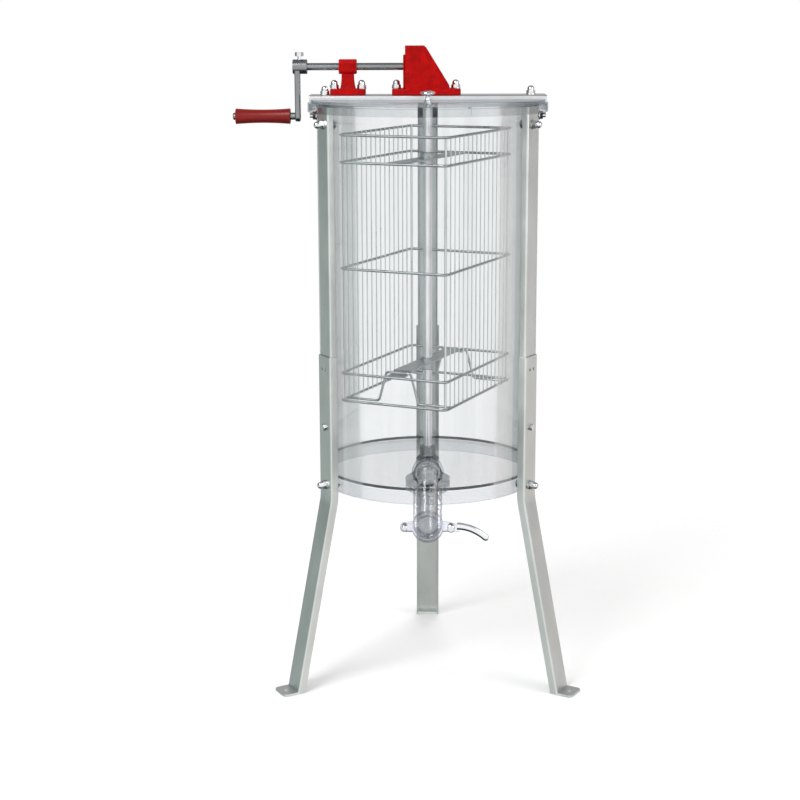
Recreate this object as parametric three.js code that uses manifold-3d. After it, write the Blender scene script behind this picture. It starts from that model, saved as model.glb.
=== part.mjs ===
// A hand-cranked honey extractor for two brood frames: a clear drum on three legs, a wire basket
// on a vertical shaft, a bevel gear drive under a red casting, and a honey gate at the front.
// Millimetres, +Z up, front towards -Y. The origin is the centre of the floor plate's underside.
import * as THREE from "three";
import { mergeVertices } from "three/addons/utils/BufferGeometryUtils.js";
import Module from "manifold-3d";

const wasm = await Module();
wasm.setup();

// ---- driving dimensions ----

const GAP = 0.3; // clearance kept between pieces that touch on the real object
const HOLE_CLEARANCE = 0.4;

const DRUM_RADIUS = 185;
const DRUM_WALL = 4;
const DRUM_BOTTOM = -22;
const DRUM_TOP = 622;
const DRUM_FACETS = 60;
const FLOOR_THICKNESS = 6;
const DRUM_INSIDE = DRUM_RADIUS - DRUM_WALL;

const RIM_SEGMENTS = 3;
const RIM_FIRST_SEAM = -40; // degrees from the front, towards +X
const RIM_RADIUS = 200;
const RIM_WALL = 2;
const RIM_FLANGE = 3;
const RIM_HEIGHT = 15;

const BEAM_HALF_LENGTH = 196;
const BEAM_HALF_WIDTH = 34;
const BEAM_TOP = 634;
const BEAM_WALL = 2;
const BEAM_BOTTOM = DRUM_TOP + 0.4;
const BEAM_BOLT_X = 171.2;
const BRACKET = { half: 12, thickness: 2, face: 180.1, bottom: 588, boltZ: 600, inner: 164 };
const BRACKET_TOP = BEAM_TOP - BEAM_WALL - GAP;

const LID_RADIUS = 196.5;
const LID_THICKNESS = 5;
const LID_BOTTOM = DRUM_TOP + GAP;
const LID_TOP = LID_BOTTOM + LID_THICKNESS;
const LID_EDGE = BEAM_HALF_WIDTH + 1;
const PEG = { x: 168, y: 54, radius: 3, depth: 10 }; // drops inside the drum and keeps the lid in place
const KNOB = { y: 120, cap: 12.2, neck: 4, base: 6, height: 18, stud: 2.5, nut: 5 };

const LEG_AZIMUTHS = { left: -60, right: 60, rear: 180 }; // degrees from the front, towards +X
const LEG_INNER = DRUM_RADIUS + 0.5;
const UPPER_LEG = { half: 18, outer: LEG_INNER + 11.3, wall: 2, top: 618.5, bottom: -28 };
const SLEEVE_WALL = 2.5;
const LOWER_LEG = {
  half: UPPER_LEG.half + HOLE_CLEARANCE + SLEEVE_WALL,
  outer: UPPER_LEG.outer + GAP + SLEEVE_WALL,
  wall: SLEEVE_WALL,
  top: 210,
  bend: -34.5,
  floor: -368,
};
const LEG_SPLAY = THREE.MathUtils.degToRad(11.5);
const FOOT = { length: 25, thickness: 4, hole: 4.5 };
const SPARE_HOLE = { radius: 2.6, sideways: 6.5, below: 22 }; // a pair near the top of each lower leg
const TOP_BOLT_Z = 590;
const MIDDLE_BOLT_Z = 89;
const LOW_BOLT_Z = -11;

const M8 = { shank: 4, hex: 7.5, head: 5.3, nut: 6.5, dome: 8 };
const M6 = { shank: 3, hex: 5.77, head: 4, nut: 5, dome: 0 };

const CRANK_Z = 680; // height of the crank shaft's axis, and of the bevel pair's apex
const CRANK_SHAFT_RADIUS = 6;
const HUB = { left: -224, right: -200, radius: 12 };
const ARM = { left: -221, right: -212, half: 9, throw: 81 };
const GRIP = { left: -320.7, right: -229, end: 12.9, waist: 11 };
const GRIP_Z = CRANK_Z - ARM.throw;
const SPINDLE = { radius: 4, shoulder: 6, cap: 6, overhang: 4.5 };
const SET_SCREW = { x: -213, radius: 3, headBottom: 697, headTop: 703.7, hex: 7.2 };

const HOUSING = { left: -37.3, right: 36, top: 713.7, half: 32.5, wall: 3.5, baseTop: 644, toe: 648.8 };
const HOUSING_CREST = [[-2, HOUSING.top - 4], [-6, HOUSING.top]]; // where the slope meets the flat top
const HOUSING_BASE = { left: -59, right: 54.5, bolts: [-52, 46.5] };
const PLATE = { left: -40.6, half: 22, bottom: 645, top: 699 };
const PLATE_BUSH = { radius: 9, left: PLATE.left - 0.1, right: HOUSING.left + HOUSING.wall };
const PEDESTAL_BUSH_RADIUS = 8.5;
const PEDESTAL = { x: -132.6, blockHalf: 14.7, baseHalf: 29.3, baseTop: 643.7, boltOffset: 22.8 };
const PEDESTAL_BLOCK = { depth: 14, height: 12 };
const COLUMN = { foot: 14, waist: 10.5, waistZ: 657, head: 10, headZ: 669, depth: 22 };
const PEDESTAL_BASE_Y = [-20, 20];

const GEAR_TEETH = 30;
const PINION_TEETH = 12;
const GEAR_MODULE = 1.7;
const ADDENDUM = 0.85 * GEAR_MODULE;
const DEDENDUM = 1.2 * GEAR_MODULE;
const FACE_SHARE = 0.31; // length of a tooth over the cone distance
const BACKLASH = 0.5;
const PRESSURE_ANGLE = THREE.MathUtils.degToRad(20);
const GEAR_RIM = { drop: 0.8, behind: 1.5 }; // the blank's edge behind the teeth, inside their roots

const SHAFT_RADIUS = 8;
const SHAFT_NECK_RADIUS = 4.5;
const CUP = { radius: 20, seat: 12, height: 26, chamfer: 6 };
const TOP_BUSH = { radius: 12, flange: 16, bottom: BEAM_TOP - BEAM_WALL - 4, flangeThickness: 3.7 };
const BUSH_CLEARANCE = 0.35; // keeps a turning faceted shaft clear of its faceted bush

const BASKET_TURN = THREE.MathUtils.degToRad(65.8);
const BASKET = { halfLength: 142.5, halfDepth: 97.5, corner: 12, wire: 4.4 };
const RING_HEIGHTS = [573, 529, 355, 179, 133];
const RING_FACETS = 6;
const CORNER_STEPS = 3;
const FACE_WIRES = 16;
const FACE_WIRE = 2;
const CORNER_WIRE = 4;
const CROSS_BAR = { half: 15, thickness: 3, hubRadius: 13, hubHeight: 20 };
const REST = { radius: 2, x: 118, flatEnd: 34, humpHalf: 20 }; // the bent wires the frames stand on
const REST_FACETS = 8;
const WELD = 0.5; // how far welded wires sink into each other

const OUTLET = { z: 33, stub: 20, pipe: 23, bore: 17, mouth: 25, mouthY: -275, mouthZ: -33 };
const MOUTH_RING = 11; // depth of the ring the gate slides on
const WALL_NUT = { radius: 26.5, back: -170.5, front: -176.2 };
const GASKET = { radius: 26, back: -176.5, front: -184 };
const COLLAR = { y: -213, z: 27, radius: 38.5, thickness: 8, tilt: THREE.MathUtils.degToRad(40) };
const LUG = { x: 37, radius: 7, thickness: 7 };
const GATE_PLATE = 3;
const GATE_SCREW = 2.5;
const GATE_NUT = { radius: 4.6, length: 4 };
const SCREW_HEADS = { pivot: { radius: 4.5, height: 3 }, clamp: { radius: 6, height: 6 } };
const SLIDE = { overhang: 15, notchMargin: 1.6, notchDrop: 20 };
const LEVER = { depth: 4, height: 6, tip: 5.4 }; // half sizes of its oval section
const LEVER_LINE = [[47, -28.5], [66, -30.6], [82, -37.9], [92, -48.3]]; // [x, z] along its middle
const CUT_MARGIN = 1; // how far a cutting tool runs past the face it opens

// ---- solids from three.js geometry ----

function toSolid(geometry) {
  const bare = geometry.clone();
  bare.deleteAttribute("normal");
  bare.deleteAttribute("uv");
  const merged = mergeVertices(bare, 1e-3);
  const triVerts = new Uint32Array(merged.index.array);
  const build = () =>
    new wasm.Manifold(
      new wasm.Mesh({ numProp: 3, vertProperties: merged.attributes.position.array, triVerts }),
    );
  const solid = build();
  if (solid.volume() >= 0) return solid;
  triVerts.reverse();
  return build();
}

function toGeometry(solid) {
  const mesh = solid.getMesh();
  const geometry = new THREE.BufferGeometry();
  geometry.setAttribute("position", new THREE.BufferAttribute(mesh.vertProperties, 3));
  geometry.setIndex(new THREE.BufferAttribute(mesh.triVerts, 1));
  return geometry;
}

function join(...geometries) {
  return toGeometry(geometries.map(toSolid).reduce((sum, solid) => sum.add(solid)));
}

function cut(geometry, ...tools) {
  return toGeometry(tools.map(toSolid).reduce((rest, tool) => rest.subtract(tool), toSolid(geometry)));
}

function common(a, b) {
  return toGeometry(toSolid(a).intersect(toSolid(b)));
}

function box(x, y, z) {
  const geometry = new THREE.BoxGeometry(x[1] - x[0], y[1] - y[0], z[1] - z[0]);
  return geometry.translate((x[0] + x[1]) / 2, (y[0] + y[1]) / 2, (z[0] + z[1]) / 2);
}

// Turns a shape built along +Z so that it starts at a point and runs along a direction.
function place(geometry, origin, direction) {
  const turn = new THREE.Quaternion().setFromUnitVectors(
    new THREE.Vector3(0, 0, 1),
    direction.clone().normalize(),
  );
  return geometry.applyQuaternion(turn).translate(origin.x, origin.y, origin.z);
}

// A solid of revolution about +Z from [radius, height] points that start and end on the axis.
function turned(profile, facets = 20) {
  const points = profile.map(([radius, height]) => new THREE.Vector2(radius, height));
  return new THREE.LatheGeometry(points, facets).rotateX(Math.PI / 2);
}

function tube(outer, inner, low, high, facets = 20) {
  const profile = [[inner, low], [outer, low], [outer, high], [inner, high], [inner, low]];
  return turned(profile, facets);
}

function rod(from, to, radius, facets = 10) {
  const along = to.clone().sub(from);
  const length = along.length();
  return place(turned([[0, 0], [radius, 0], [radius, length], [0, length]], facets), from, along);
}

function alongX(from, to, radius, z = CRANK_Z, facets = 20) {
  return rod(new THREE.Vector3(from, 0, z), new THREE.Vector3(to, 0, z), radius, facets);
}

function alongY(from, to, x, z, radius, facets = 20) {
  return rod(new THREE.Vector3(x, from, z), new THREE.Vector3(x, to, z), radius, facets);
}

function alongZ(x, y, low, high, radius, facets = 10) {
  return rod(new THREE.Vector3(x, y, low), new THREE.Vector3(x, y, high), radius, facets);
}

function turnedAlongX(profile, z, facets = 20) {
  const points = profile.map(([x, radius]) => [radius, x]);
  return turned(points, facets).rotateY(Math.PI / 2).translate(0, 0, z);
}

// A closed body through equal outlines, each a list of points, with flat ends.
function loft(sections, capOutline) {
  const count = sections[0].length;
  const positions = sections.flat().flatMap((point) => [point.x, point.y, point.z]);
  const index = [];
  for (let s = 0; s < sections.length - 1; s++) {
    for (let i = 0; i < count; i++) {
      const a = s * count + i;
      const b = s * count + ((i + 1) % count);
      index.push(a, b, b + count, a, b + count, a + count);
    }
  }
  const last = (sections.length - 1) * count;
  for (const [a, b, c] of THREE.ShapeUtils.triangulateShape(capOutline, [])) {
    index.push(c, b, a, last + a, last + b, last + c);
  }
  const geometry = new THREE.BufferGeometry();
  geometry.setAttribute("position", new THREE.Float32BufferAttribute(positions, 3));
  geometry.setIndex(index);
  return geometry;
}

function circlePoints(radius, facets) {
  return Array.from({ length: facets }, (_, i) => {
    const angle = (2 * Math.PI * i) / facets;
    return [radius * Math.cos(angle), radius * Math.sin(angle)];
  });
}

// Triangles between rings of equal point counts, the last ring joined to the first.
function closedStrips(rings, count) {
  const index = [];
  for (let r = 0; r < rings; r++) {
    const next = (r + 1) % rings;
    for (let i = 0; i < count; i++) {
      const j = (i + 1) % count;
      index.push(r * count + i, r * count + j, next * count + j);
      index.push(r * count + i, next * count + j, next * count + i);
    }
  }
  return index;
}

// A solid from an outline of [x, z] points, as deep in Y as given and centred on Y = 0.
function upright(outline, depth) {
  const shape = new THREE.Shape(outline.map(([x, z]) => new THREE.Vector2(x, z)));
  const options = { depth, bevelEnabled: false };
  return new THREE.ExtrudeGeometry(shape, options).rotateX(Math.PI / 2).translate(0, depth / 2, 0);
}

function alongPath(radius, path, steps, facets) {
  const circle = new THREE.Shape().absarc(0, 0, radius, 0, 2 * Math.PI, false);
  const options = { steps, curveSegments: facets, extrudePath: path, bevelEnabled: false };
  return new THREE.ExtrudeGeometry(circle, options);
}

// ---- places around the drum ----

function outward(azimuth) {
  const angle = THREE.MathUtils.degToRad(azimuth);
  return new THREE.Vector3(Math.sin(angle), -Math.cos(angle), 0);
}

function aroundDrum(azimuth, radius, z, sideways = 0) {
  const out = outward(azimuth);
  const side = new THREE.Vector3(-out.y, out.x, 0);
  return out.multiplyScalar(radius).addScaledVector(side, sideways).setZ(z);
}

function radialHole(azimuth, z, radius, from = DRUM_INSIDE - 10, to = RIM_RADIUS + 10, sideways = 0) {
  return rod(aroundDrum(azimuth, from, z, sideways), aroundDrum(azimuth, to, z, sideways), radius);
}

// A bolt built along +Z: hex head below zero, shank above, and a nut, with a dome if it's an acorn nut.
function bolt(size, grip, { acorn = true, tail = 3 } = {}) {
  const half = size.nut / 2;
  const nutTop = grip + size.nut;
  const head = turned([[0, -size.head], [size.hex, -size.head], [size.hex, 0], [0, 0]], 6);
  const nut = turned([[0, grip], [size.hex, grip], [size.hex, nutTop], [0, nutTop]], 6);
  const shankTop = acorn ? nutTop - half : nutTop + tail;
  const shank = turned([[0, -half], [size.shank, -half], [size.shank, shankTop], [0, shankTop]], 8);
  if (!acorn) return join(head, nut, shank);
  const radius = size.hex * 0.82;
  const dome = turned(
    [
      [0, nutTop - half],
      [radius, nutTop - half],
      [radius, nutTop + size.dome * 0.35],
      [radius * 0.75, nutTop + size.dome * 0.78],
      [0, nutTop + size.dome],
    ],
    8,
  );
  return join(head, nut, shank, dome);
}

// ---- drum ----

function drumShell() {
  const wall = tube(DRUM_RADIUS, DRUM_INSIDE, DRUM_BOTTOM, DRUM_TOP, DRUM_FACETS);
  const hole = M8.shank + HOLE_CLEARANCE;
  const legHoles = Object.values(LEG_AZIMUTHS).flatMap((azimuth) => [
    radialHole(azimuth, TOP_BOLT_Z, hole),
    radialHole(azimuth, LOW_BOLT_Z, hole),
  ]);
  const beamHoles = [-90, 90].map((azimuth) => radialHole(azimuth, BRACKET.boltZ, hole));
  const outletRadius = OUTLET.stub + HOLE_CLEARANCE;
  const outletHole = alongY(-DRUM_INSIDE + 10, -DRUM_RADIUS - 10, 0, OUTLET.z, outletRadius, 24);
  return cut(wall, ...legHoles, ...beamHoles, outletHole);
}

function drumFloor() {
  const radius = DRUM_INSIDE - GAP;
  return turned([[0, 0], [radius, 0], [radius, FLOOR_THICKNESS], [0, FLOOR_THICKNESS]], DRUM_FACETS);
}

function rimSegment(index) {
  const seamHalf = THREE.MathUtils.radToDeg(GAP / 2 / DRUM_RADIUS);
  const first = RIM_FIRST_SEAM + (index * 360) / RIM_SEGMENTS + seamHalf;
  const span = 360 / RIM_SEGMENTS - 2 * seamHalf;
  const inner = DRUM_RADIUS + GAP;
  const lip = RIM_RADIUS - RIM_WALL;
  const flangeBottom = DRUM_TOP - RIM_FLANGE;
  const bottom = DRUM_TOP - RIM_HEIGHT;
  const outline = [
    [inner, flangeBottom],
    [lip, flangeBottom],
    [lip, bottom],
    [RIM_RADIUS, bottom],
    [RIM_RADIUS, DRUM_TOP],
    [inner, DRUM_TOP],
  ];
  const steps = DRUM_FACETS / RIM_SEGMENTS;
  const sections = [];
  for (let i = 0; i <= steps; i++) {
    sections.push(outline.map(([radius, z]) => aroundDrum(first + (span * i) / steps, radius, z)));
  }
  return loft(sections, outline.map(([radius, z]) => new THREE.Vector2(radius, z)));
}

// ---- legs ----

function channelOutline({ half, outer, wall }) {
  return [
    [LEG_INNER, -half],
    [outer, -half],
    [outer, half],
    [LEG_INNER, half],
    [LEG_INNER, half - wall],
    [outer - wall, half - wall],
    [outer - wall, wall - half],
    [LEG_INNER, wall - half],
  ];
}

// A U-channel leg through [height, radial shift] stations, its web facing out.
function channel(azimuth, leg, stations) {
  const outline = channelOutline(leg);
  const sections = stations.map(([z, shift]) =>
    outline.map(([radius, side]) => aroundDrum(azimuth, radius + shift, z, side)),
  );
  return loft(sections, outline.map(([radius, side]) => new THREE.Vector2(radius, side)));
}

function upperLeg(azimuth) {
  const body = channel(azimuth, UPPER_LEG, [[UPPER_LEG.bottom, 0], [UPPER_LEG.top, 0]]);
  return cut(
    body,
    radialHole(azimuth, TOP_BOLT_Z, M8.shank + HOLE_CLEARANCE),
    radialHole(azimuth, MIDDLE_BOLT_Z, M6.shank + HOLE_CLEARANCE),
    radialHole(azimuth, LOW_BOLT_Z, M8.shank + HOLE_CLEARANCE),
  );
}

const FOOT_SHIFT = (LOWER_LEG.bend - LOWER_LEG.floor) * Math.tan(LEG_SPLAY);

function lowerLeg(azimuth) {
  const body = channel(azimuth, LOWER_LEG, [
    [LOWER_LEG.floor, FOOT_SHIFT],
    [LOWER_LEG.bend, 0],
    [LOWER_LEG.top, 0],
  ]);
  const { floor, half } = LOWER_LEG;
  const toe = LOWER_LEG.outer + FOOT_SHIFT + FOOT.length;
  const heel = LEG_INNER + FOOT_SHIFT;
  const footOutline = [[heel, -half], [toe, -half], [toe, half], [heel, half]];
  const foot = loft(
    [floor, floor + FOOT.thickness].map((z) =>
      footOutline.map(([radius, side]) => aroundDrum(azimuth, radius, z, side)),
    ),
    footOutline.map(([radius, side]) => new THREE.Vector2(radius, side)),
  );
  const anchor = aroundDrum(azimuth, toe - FOOT.length / 2, floor - CUT_MARGIN);
  const anchorTop = anchor.clone().setZ(floor + FOOT.thickness + CUT_MARGIN);
  const spareZ = LOWER_LEG.top - SPARE_HOLE.below;
  const spare = [-SPARE_HOLE.sideways, SPARE_HOLE.sideways].map((side) =>
    radialHole(azimuth, spareZ, SPARE_HOLE.radius, UPPER_LEG.outer, RIM_RADIUS + 10, side),
  );
  return cut(
    join(body, foot),
    rod(anchor, anchorTop, FOOT.hole),
    radialHole(azimuth, MIDDLE_BOLT_Z, M6.shank + HOLE_CLEARANCE),
    radialHole(azimuth, LOW_BOLT_Z, M8.shank + HOLE_CLEARANCE),
    ...spare,
  );
}

const INNER_HEAD = DRUM_INSIDE - 0.7; // a flat bolt head stays clear of the round wall behind it

function throughWallBolt(azimuth, z, nutRadius) {
  return place(bolt(M8, nutRadius - INNER_HEAD), aroundDrum(azimuth, INNER_HEAD, z), outward(azimuth));
}

function middleBolt(azimuth) {
  const head = LOWER_LEG.outer + GAP;
  const nut = UPPER_LEG.outer - UPPER_LEG.wall - GAP;
  const made = bolt(M6, head - nut, { acorn: false, tail: 1 });
  return place(made, aroundDrum(azimuth, head, MIDDLE_BOLT_Z), outward(azimuth).negate());
}

// ---- beam and its brackets ----

function castingBoltXs() {
  const pedestal = [-1, 1].map((side) => PEDESTAL.x + side * PEDESTAL.boltOffset);
  return [...pedestal, ...HOUSING_BASE.bolts];
}

function beam() {
  const length = [-BEAM_HALF_LENGTH, BEAM_HALF_LENGTH];
  const side = BEAM_HALF_WIDTH - BEAM_WALL;
  const outer = box(length, [-BEAM_HALF_WIDTH, BEAM_HALF_WIDTH], [BEAM_BOTTOM, BEAM_TOP]);
  const hollow = box([length[0] - 1, length[1] + 1], [-side, side], [BEAM_BOTTOM - 1, BEAM_TOP - BEAM_WALL]);
  const holes = [...castingBoltXs(), -BEAM_BOLT_X, BEAM_BOLT_X].map((x) =>
    alongZ(x, 0, BEAM_BOTTOM, BEAM_TOP + 1, M8.shank + HOLE_CLEARANCE),
  );
  const bushHole = alongZ(0, 0, BEAM_BOTTOM, BEAM_TOP + 1, TOP_BUSH.radius + HOLE_CLEARANCE, 24);
  return cut(outer, hollow, ...holes, bushHole);
}

function bracket(side) {
  const inside = BRACKET.face - BRACKET.thickness;
  const plate = box([inside, BRACKET.face], [-BRACKET.half, BRACKET.half], [BRACKET.bottom, BRACKET_TOP]);
  const arm = box(
    [BRACKET.inner, BRACKET.face],
    [-BRACKET.half, BRACKET.half],
    [BRACKET_TOP - BRACKET.thickness, BRACKET_TOP],
  );
  const hole = M8.shank + HOLE_CLEARANCE;
  const wallHole = rod(
    new THREE.Vector3(inside - 1, 0, BRACKET.boltZ),
    new THREE.Vector3(BRACKET.face + 1, 0, BRACKET.boltZ),
    hole,
  );
  const beamHole = alongZ(BEAM_BOLT_X, 0, BRACKET_TOP - 4, BRACKET_TOP + 1, hole);
  const made = cut(join(plate, arm), wallHole, beamHole);
  return side > 0 ? made : made.rotateZ(Math.PI);
}

function bracketBolt(side) {
  const inside = BRACKET.face - BRACKET.thickness - GAP;
  const made = bolt(M8, DRUM_RADIUS + GAP - inside, { acorn: false, tail: 5 });
  return place(made, new THREE.Vector3(side * inside, 0, BRACKET.boltZ), new THREE.Vector3(side, 0, 0));
}

function beamBolt(side) {
  const headTop = BRACKET_TOP - BRACKET.thickness - GAP;
  return bolt(M8, BEAM_TOP + GAP - headTop).translate(side * BEAM_BOLT_X, 0, headTop);
}

function castingBolt(x, baseTop) {
  const headTop = BEAM_TOP - BEAM_WALL - GAP;
  return bolt(M8, baseTop + GAP - headTop).translate(x, 0, headTop);
}

// ---- lids ----

function lid(side) {
  const start = Math.asin(LID_EDGE / LID_RADIUS);
  const outline = new THREE.Shape().absarc(0, 0, LID_RADIUS, start, Math.PI - start, false).closePath();
  const options = { depth: LID_THICKNESS, bevelEnabled: false, curveSegments: 24 };
  const plate = new THREE.ExtrudeGeometry(outline, options).translate(0, 0, LID_BOTTOM);
  const pegs = [-PEG.x, PEG.x].map((x) =>
    alongZ(x, PEG.y, LID_BOTTOM - PEG.depth, LID_BOTTOM + 1, PEG.radius, 12),
  );
  const knobHole = alongZ(0, KNOB.y, LID_BOTTOM - 1, LID_TOP + 1, KNOB.stud + HOLE_CLEARANCE);
  const made = cut(join(plate, ...pegs), knobHole);
  return side > 0 ? made : made.rotateZ(Math.PI);
}

function lidKnob(side) {
  const low = LID_BOTTOM - GAP;
  const base = LID_TOP + GAP;
  const profile = [
    [0, low - 4],
    [KNOB.nut, low - 4],
    [KNOB.nut, low],
    [KNOB.stud, low],
    [KNOB.stud, base],
    [KNOB.base, base],
    [KNOB.neck, base + 4],
    [KNOB.neck, base + 9],
    [KNOB.cap, base + 13],
    [KNOB.cap, base + 15],
    [KNOB.cap * 0.6, base + KNOB.height],
    [0, base + KNOB.height],
  ];
  return turned(profile, 12).translate(0, side * KNOB.y, 0);
}

// ---- crank ----

function crankShaft() {
  return alongX(HUB.left + 1, -6, CRANK_SHAFT_RADIUS);
}

function crankArm() {
  const hub = alongX(HUB.left, HUB.right, HUB.radius);
  const arm = box([ARM.left, ARM.right], [-ARM.half, ARM.half], [GRIP_Z, CRANK_Z]);
  const end = alongX(ARM.left, ARM.right, ARM.half, GRIP_Z);
  const shaftBore = alongX(HUB.left - 1, HUB.right + 1, CRANK_SHAFT_RADIUS + GAP);
  const spindleBore = alongX(ARM.left - 1, ARM.right + 1, SPINDLE.radius + GAP, GRIP_Z);
  const screwHole = alongZ(SET_SCREW.x, 0, CRANK_Z, CRANK_Z + 20, SET_SCREW.radius + GAP);
  return cut(join(hub, arm, end), shaftBore, spindleBore, screwHole);
}

function setScrew() {
  const { x, radius, headBottom, headTop, hex } = SET_SCREW;
  const head = alongZ(x, 0, headBottom, headTop, hex, 6);
  const tip = CRANK_Z + CRANK_SHAFT_RADIUS + GAP;
  const shank = alongZ(x, 0, tip, (headBottom + headTop) / 2, radius, 12);
  return join(head, shank);
}

function gripSpindle() {
  const shoulder = GRIP.right + GAP;
  const profile = [
    [GRIP.left - SPINDLE.overhang, 0],
    [GRIP.left - SPINDLE.overhang, SPINDLE.cap],
    [GRIP.left - GAP, SPINDLE.cap],
    [GRIP.left - GAP, SPINDLE.radius],
    [shoulder, SPINDLE.radius],
    [shoulder, SPINDLE.shoulder],
    [ARM.left - GAP, SPINDLE.shoulder],
    [ARM.left - GAP, SPINDLE.radius],
    [ARM.right - 1, SPINDLE.radius],
    [ARM.right - 1, 0],
  ];
  return turnedAlongX(profile, GRIP_Z);
}

function crankGrip() {
  const middle = (GRIP.left + GRIP.right) / 2;
  const half = (GRIP.right - GRIP.left) / 2;
  const bore = SPINDLE.radius + BUSH_CLEARANCE;
  const profile = [[GRIP.left, bore]];
  for (let i = -3; i <= 3; i++) {
    const t = i / 3;
    profile.push([middle + t * half, GRIP.waist + (GRIP.end - GRIP.waist) * t * t]);
  }
  profile.push([GRIP.right, bore], [GRIP.left, bore]);
  return turnedAlongX(profile, GRIP_Z, 16);
}

// ---- castings ----

function gearHousing() {
  const { left, right, top, half, wall, baseTop, toe } = HOUSING;
  const bottom = BEAM_TOP + GAP;
  const [corner, shoulder] = HOUSING_CREST;
  const outline = [[left, bottom], [right, bottom], [right, toe], corner, shoulder, [left, top]];
  const body = upright(outline, 2 * half);
  const base = box([HOUSING_BASE.left, HOUSING_BASE.right], [-half, half], [bottom, baseTop]);
  const hollow = upright(
    [
      [left + wall, bottom - CUT_MARGIN],
      [right - wall, bottom - CUT_MARGIN],
      [right - wall, toe - 2],
      [corner[0] - wall, corner[1] - 1],
      [shoulder[0] - 1, top - wall],
      [left + wall, top - wall],
    ],
    2 * (half - wall),
  );
  const shaftHole = alongX(left - 1, left + wall + 1, PLATE_BUSH.radius + HOLE_CLEARANCE);
  const holes = HOUSING_BASE.bolts.map((x) =>
    alongZ(x, 0, bottom - 1, baseTop + 1, M8.shank + HOLE_CLEARANCE),
  );
  return cut(join(body, base), hollow, shaftHole, ...holes);
}

function bearingPlate() {
  const right = HOUSING.left - GAP;
  const plate = box([PLATE.left, right], [-PLATE.half, PLATE.half], [PLATE.bottom, PLATE.top]);
  return cut(plate, alongX(PLATE.left - 1, right + 1, PLATE_BUSH.radius + HOLE_CLEARANCE));
}

function boredAlongX(from, to, radius, bore) {
  const profile = [[from, bore], [from, radius], [to, radius], [to, bore], [from, bore]];
  return turnedAlongX(profile, CRANK_Z);
}

function plateBush() {
  const { left, right, radius } = PLATE_BUSH;
  return boredAlongX(left, right, radius, CRANK_SHAFT_RADIUS + BUSH_CLEARANCE);
}

function pedestal() {
  const { x, blockHalf, baseHalf, baseTop } = PEDESTAL;
  const bottom = BEAM_TOP + GAP;
  const { depth, height } = PEDESTAL_BLOCK;
  const block = box([x - blockHalf, x + blockHalf], [-depth, depth], [CRANK_Z - height, CRANK_Z + height]);
  const right = [[COLUMN.foot, baseTop - 2], [COLUMN.waist, COLUMN.waistZ], [COLUMN.head, COLUMN.headZ]];
  const left = right.map(([offset, z]) => [-offset, z]).reverse();
  const column = upright([...right, ...left].map(([offset, z]) => [x + offset, z]), COLUMN.depth);
  const base = box([x - baseHalf, x + baseHalf], PEDESTAL_BASE_Y, [bottom, baseTop]);
  const bore = alongX(x - blockHalf - 1, x + blockHalf + 1, PEDESTAL_BUSH_RADIUS + HOLE_CLEARANCE);
  const holes = [-1, 1].map((side) =>
    alongZ(x + side * PEDESTAL.boltOffset, 0, bottom - 1, baseTop + 1, M8.shank + HOLE_CLEARANCE),
  );
  return cut(join(block, column, base), bore, ...holes);
}

function pedestalBush() {
  const { x, blockHalf } = PEDESTAL;
  return boredAlongX(x - blockHalf, x + blockHalf, PEDESTAL_BUSH_RADIUS, CRANK_SHAFT_RADIUS + BUSH_CLEARANCE);
}

// ---- bevel gears ----

// A bevel gear about +Z with its apex at the origin, its teeth rising from the pitch cone.
// Each tooth has the root and tip widths of the equivalent spur gear's involute, drawn on the
// back cone and shrunk towards the apex. "phase" turns the first tooth's centre away from +X.
function bevelGear(teeth, mate, { bore, back, phase }) {
  const cone = Math.atan2(teeth, mate);
  const pitch = (teeth * GEAR_MODULE) / 2;
  const equivalent = pitch / Math.cos(cone);
  const baseRadius = equivalent * Math.cos(PRESSURE_ANGLE);
  const involute = (angle) => Math.tan(angle) - angle;
  const halfAngleAt = (radius) => {
    const atPitch = Math.PI / 2 / (equivalent * 2 / GEAR_MODULE) - BACKLASH / 4 / equivalent;
    const angle = Math.acos(Math.min(1, baseRadius / Math.max(radius, baseRadius)));
    return atPitch + involute(PRESSURE_ANGLE) - involute(angle);
  };
  const flank = [-DEDENDUM, ADDENDUM].map((height) => {
    const spread = (halfAngleAt(equivalent + height) * (equivalent + height)) / pitch;
    return { height, angle: spread * (pitch / (pitch + height * Math.cos(cone))) };
  });
  const toothPoints = [
    ...flank.map(({ height, angle }) => ({ height, angle: -angle })),
    ...flank.map(({ height, angle }) => ({ height, angle })).reverse(),
  ];
  const apexDistance = pitch / Math.tan(cone);
  const ring = (scale) =>
    Array.from({ length: teeth }, (_, tooth) =>
      toothPoints.map(({ height, angle }) => {
        const radius = scale * (pitch + height * Math.cos(cone));
        const z = scale * (apexDistance - height * Math.sin(cone));
        const turn = phase + (2 * Math.PI * tooth) / teeth + angle;
        return new THREE.Vector3(radius * Math.cos(turn), radius * Math.sin(turn), -z);
      }),
    ).flat();
  const outer = ring(1);
  const inner = ring(1 - FACE_SHARE);
  const circle = (radius, z) =>
    outer.map((point) => {
      const turn = Math.atan2(point.y, point.x);
      return new THREE.Vector3(radius * Math.cos(turn), radius * Math.sin(turn), z);
    });
  const rimRadius = pitch - DEDENDUM * Math.cos(cone) - GEAR_RIM.drop;
  const rootZ = apexDistance + DEDENDUM * Math.sin(cone);
  const rings = [
    circle(bore, -back),
    circle(rimRadius, -(rootZ + GEAR_RIM.behind)),
    outer,
    inner,
    circle(bore, -(1 - FACE_SHARE) * rootZ),
  ];
  const count = outer.length;
  const positions = rings.flat().flatMap((point) => [point.x, point.y, point.z]);
  const geometry = new THREE.BufferGeometry();
  geometry.setAttribute("position", new THREE.Float32BufferAttribute(positions, 3));
  geometry.setIndex(closedStrips(rings.length, count));
  return geometry;
}

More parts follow.
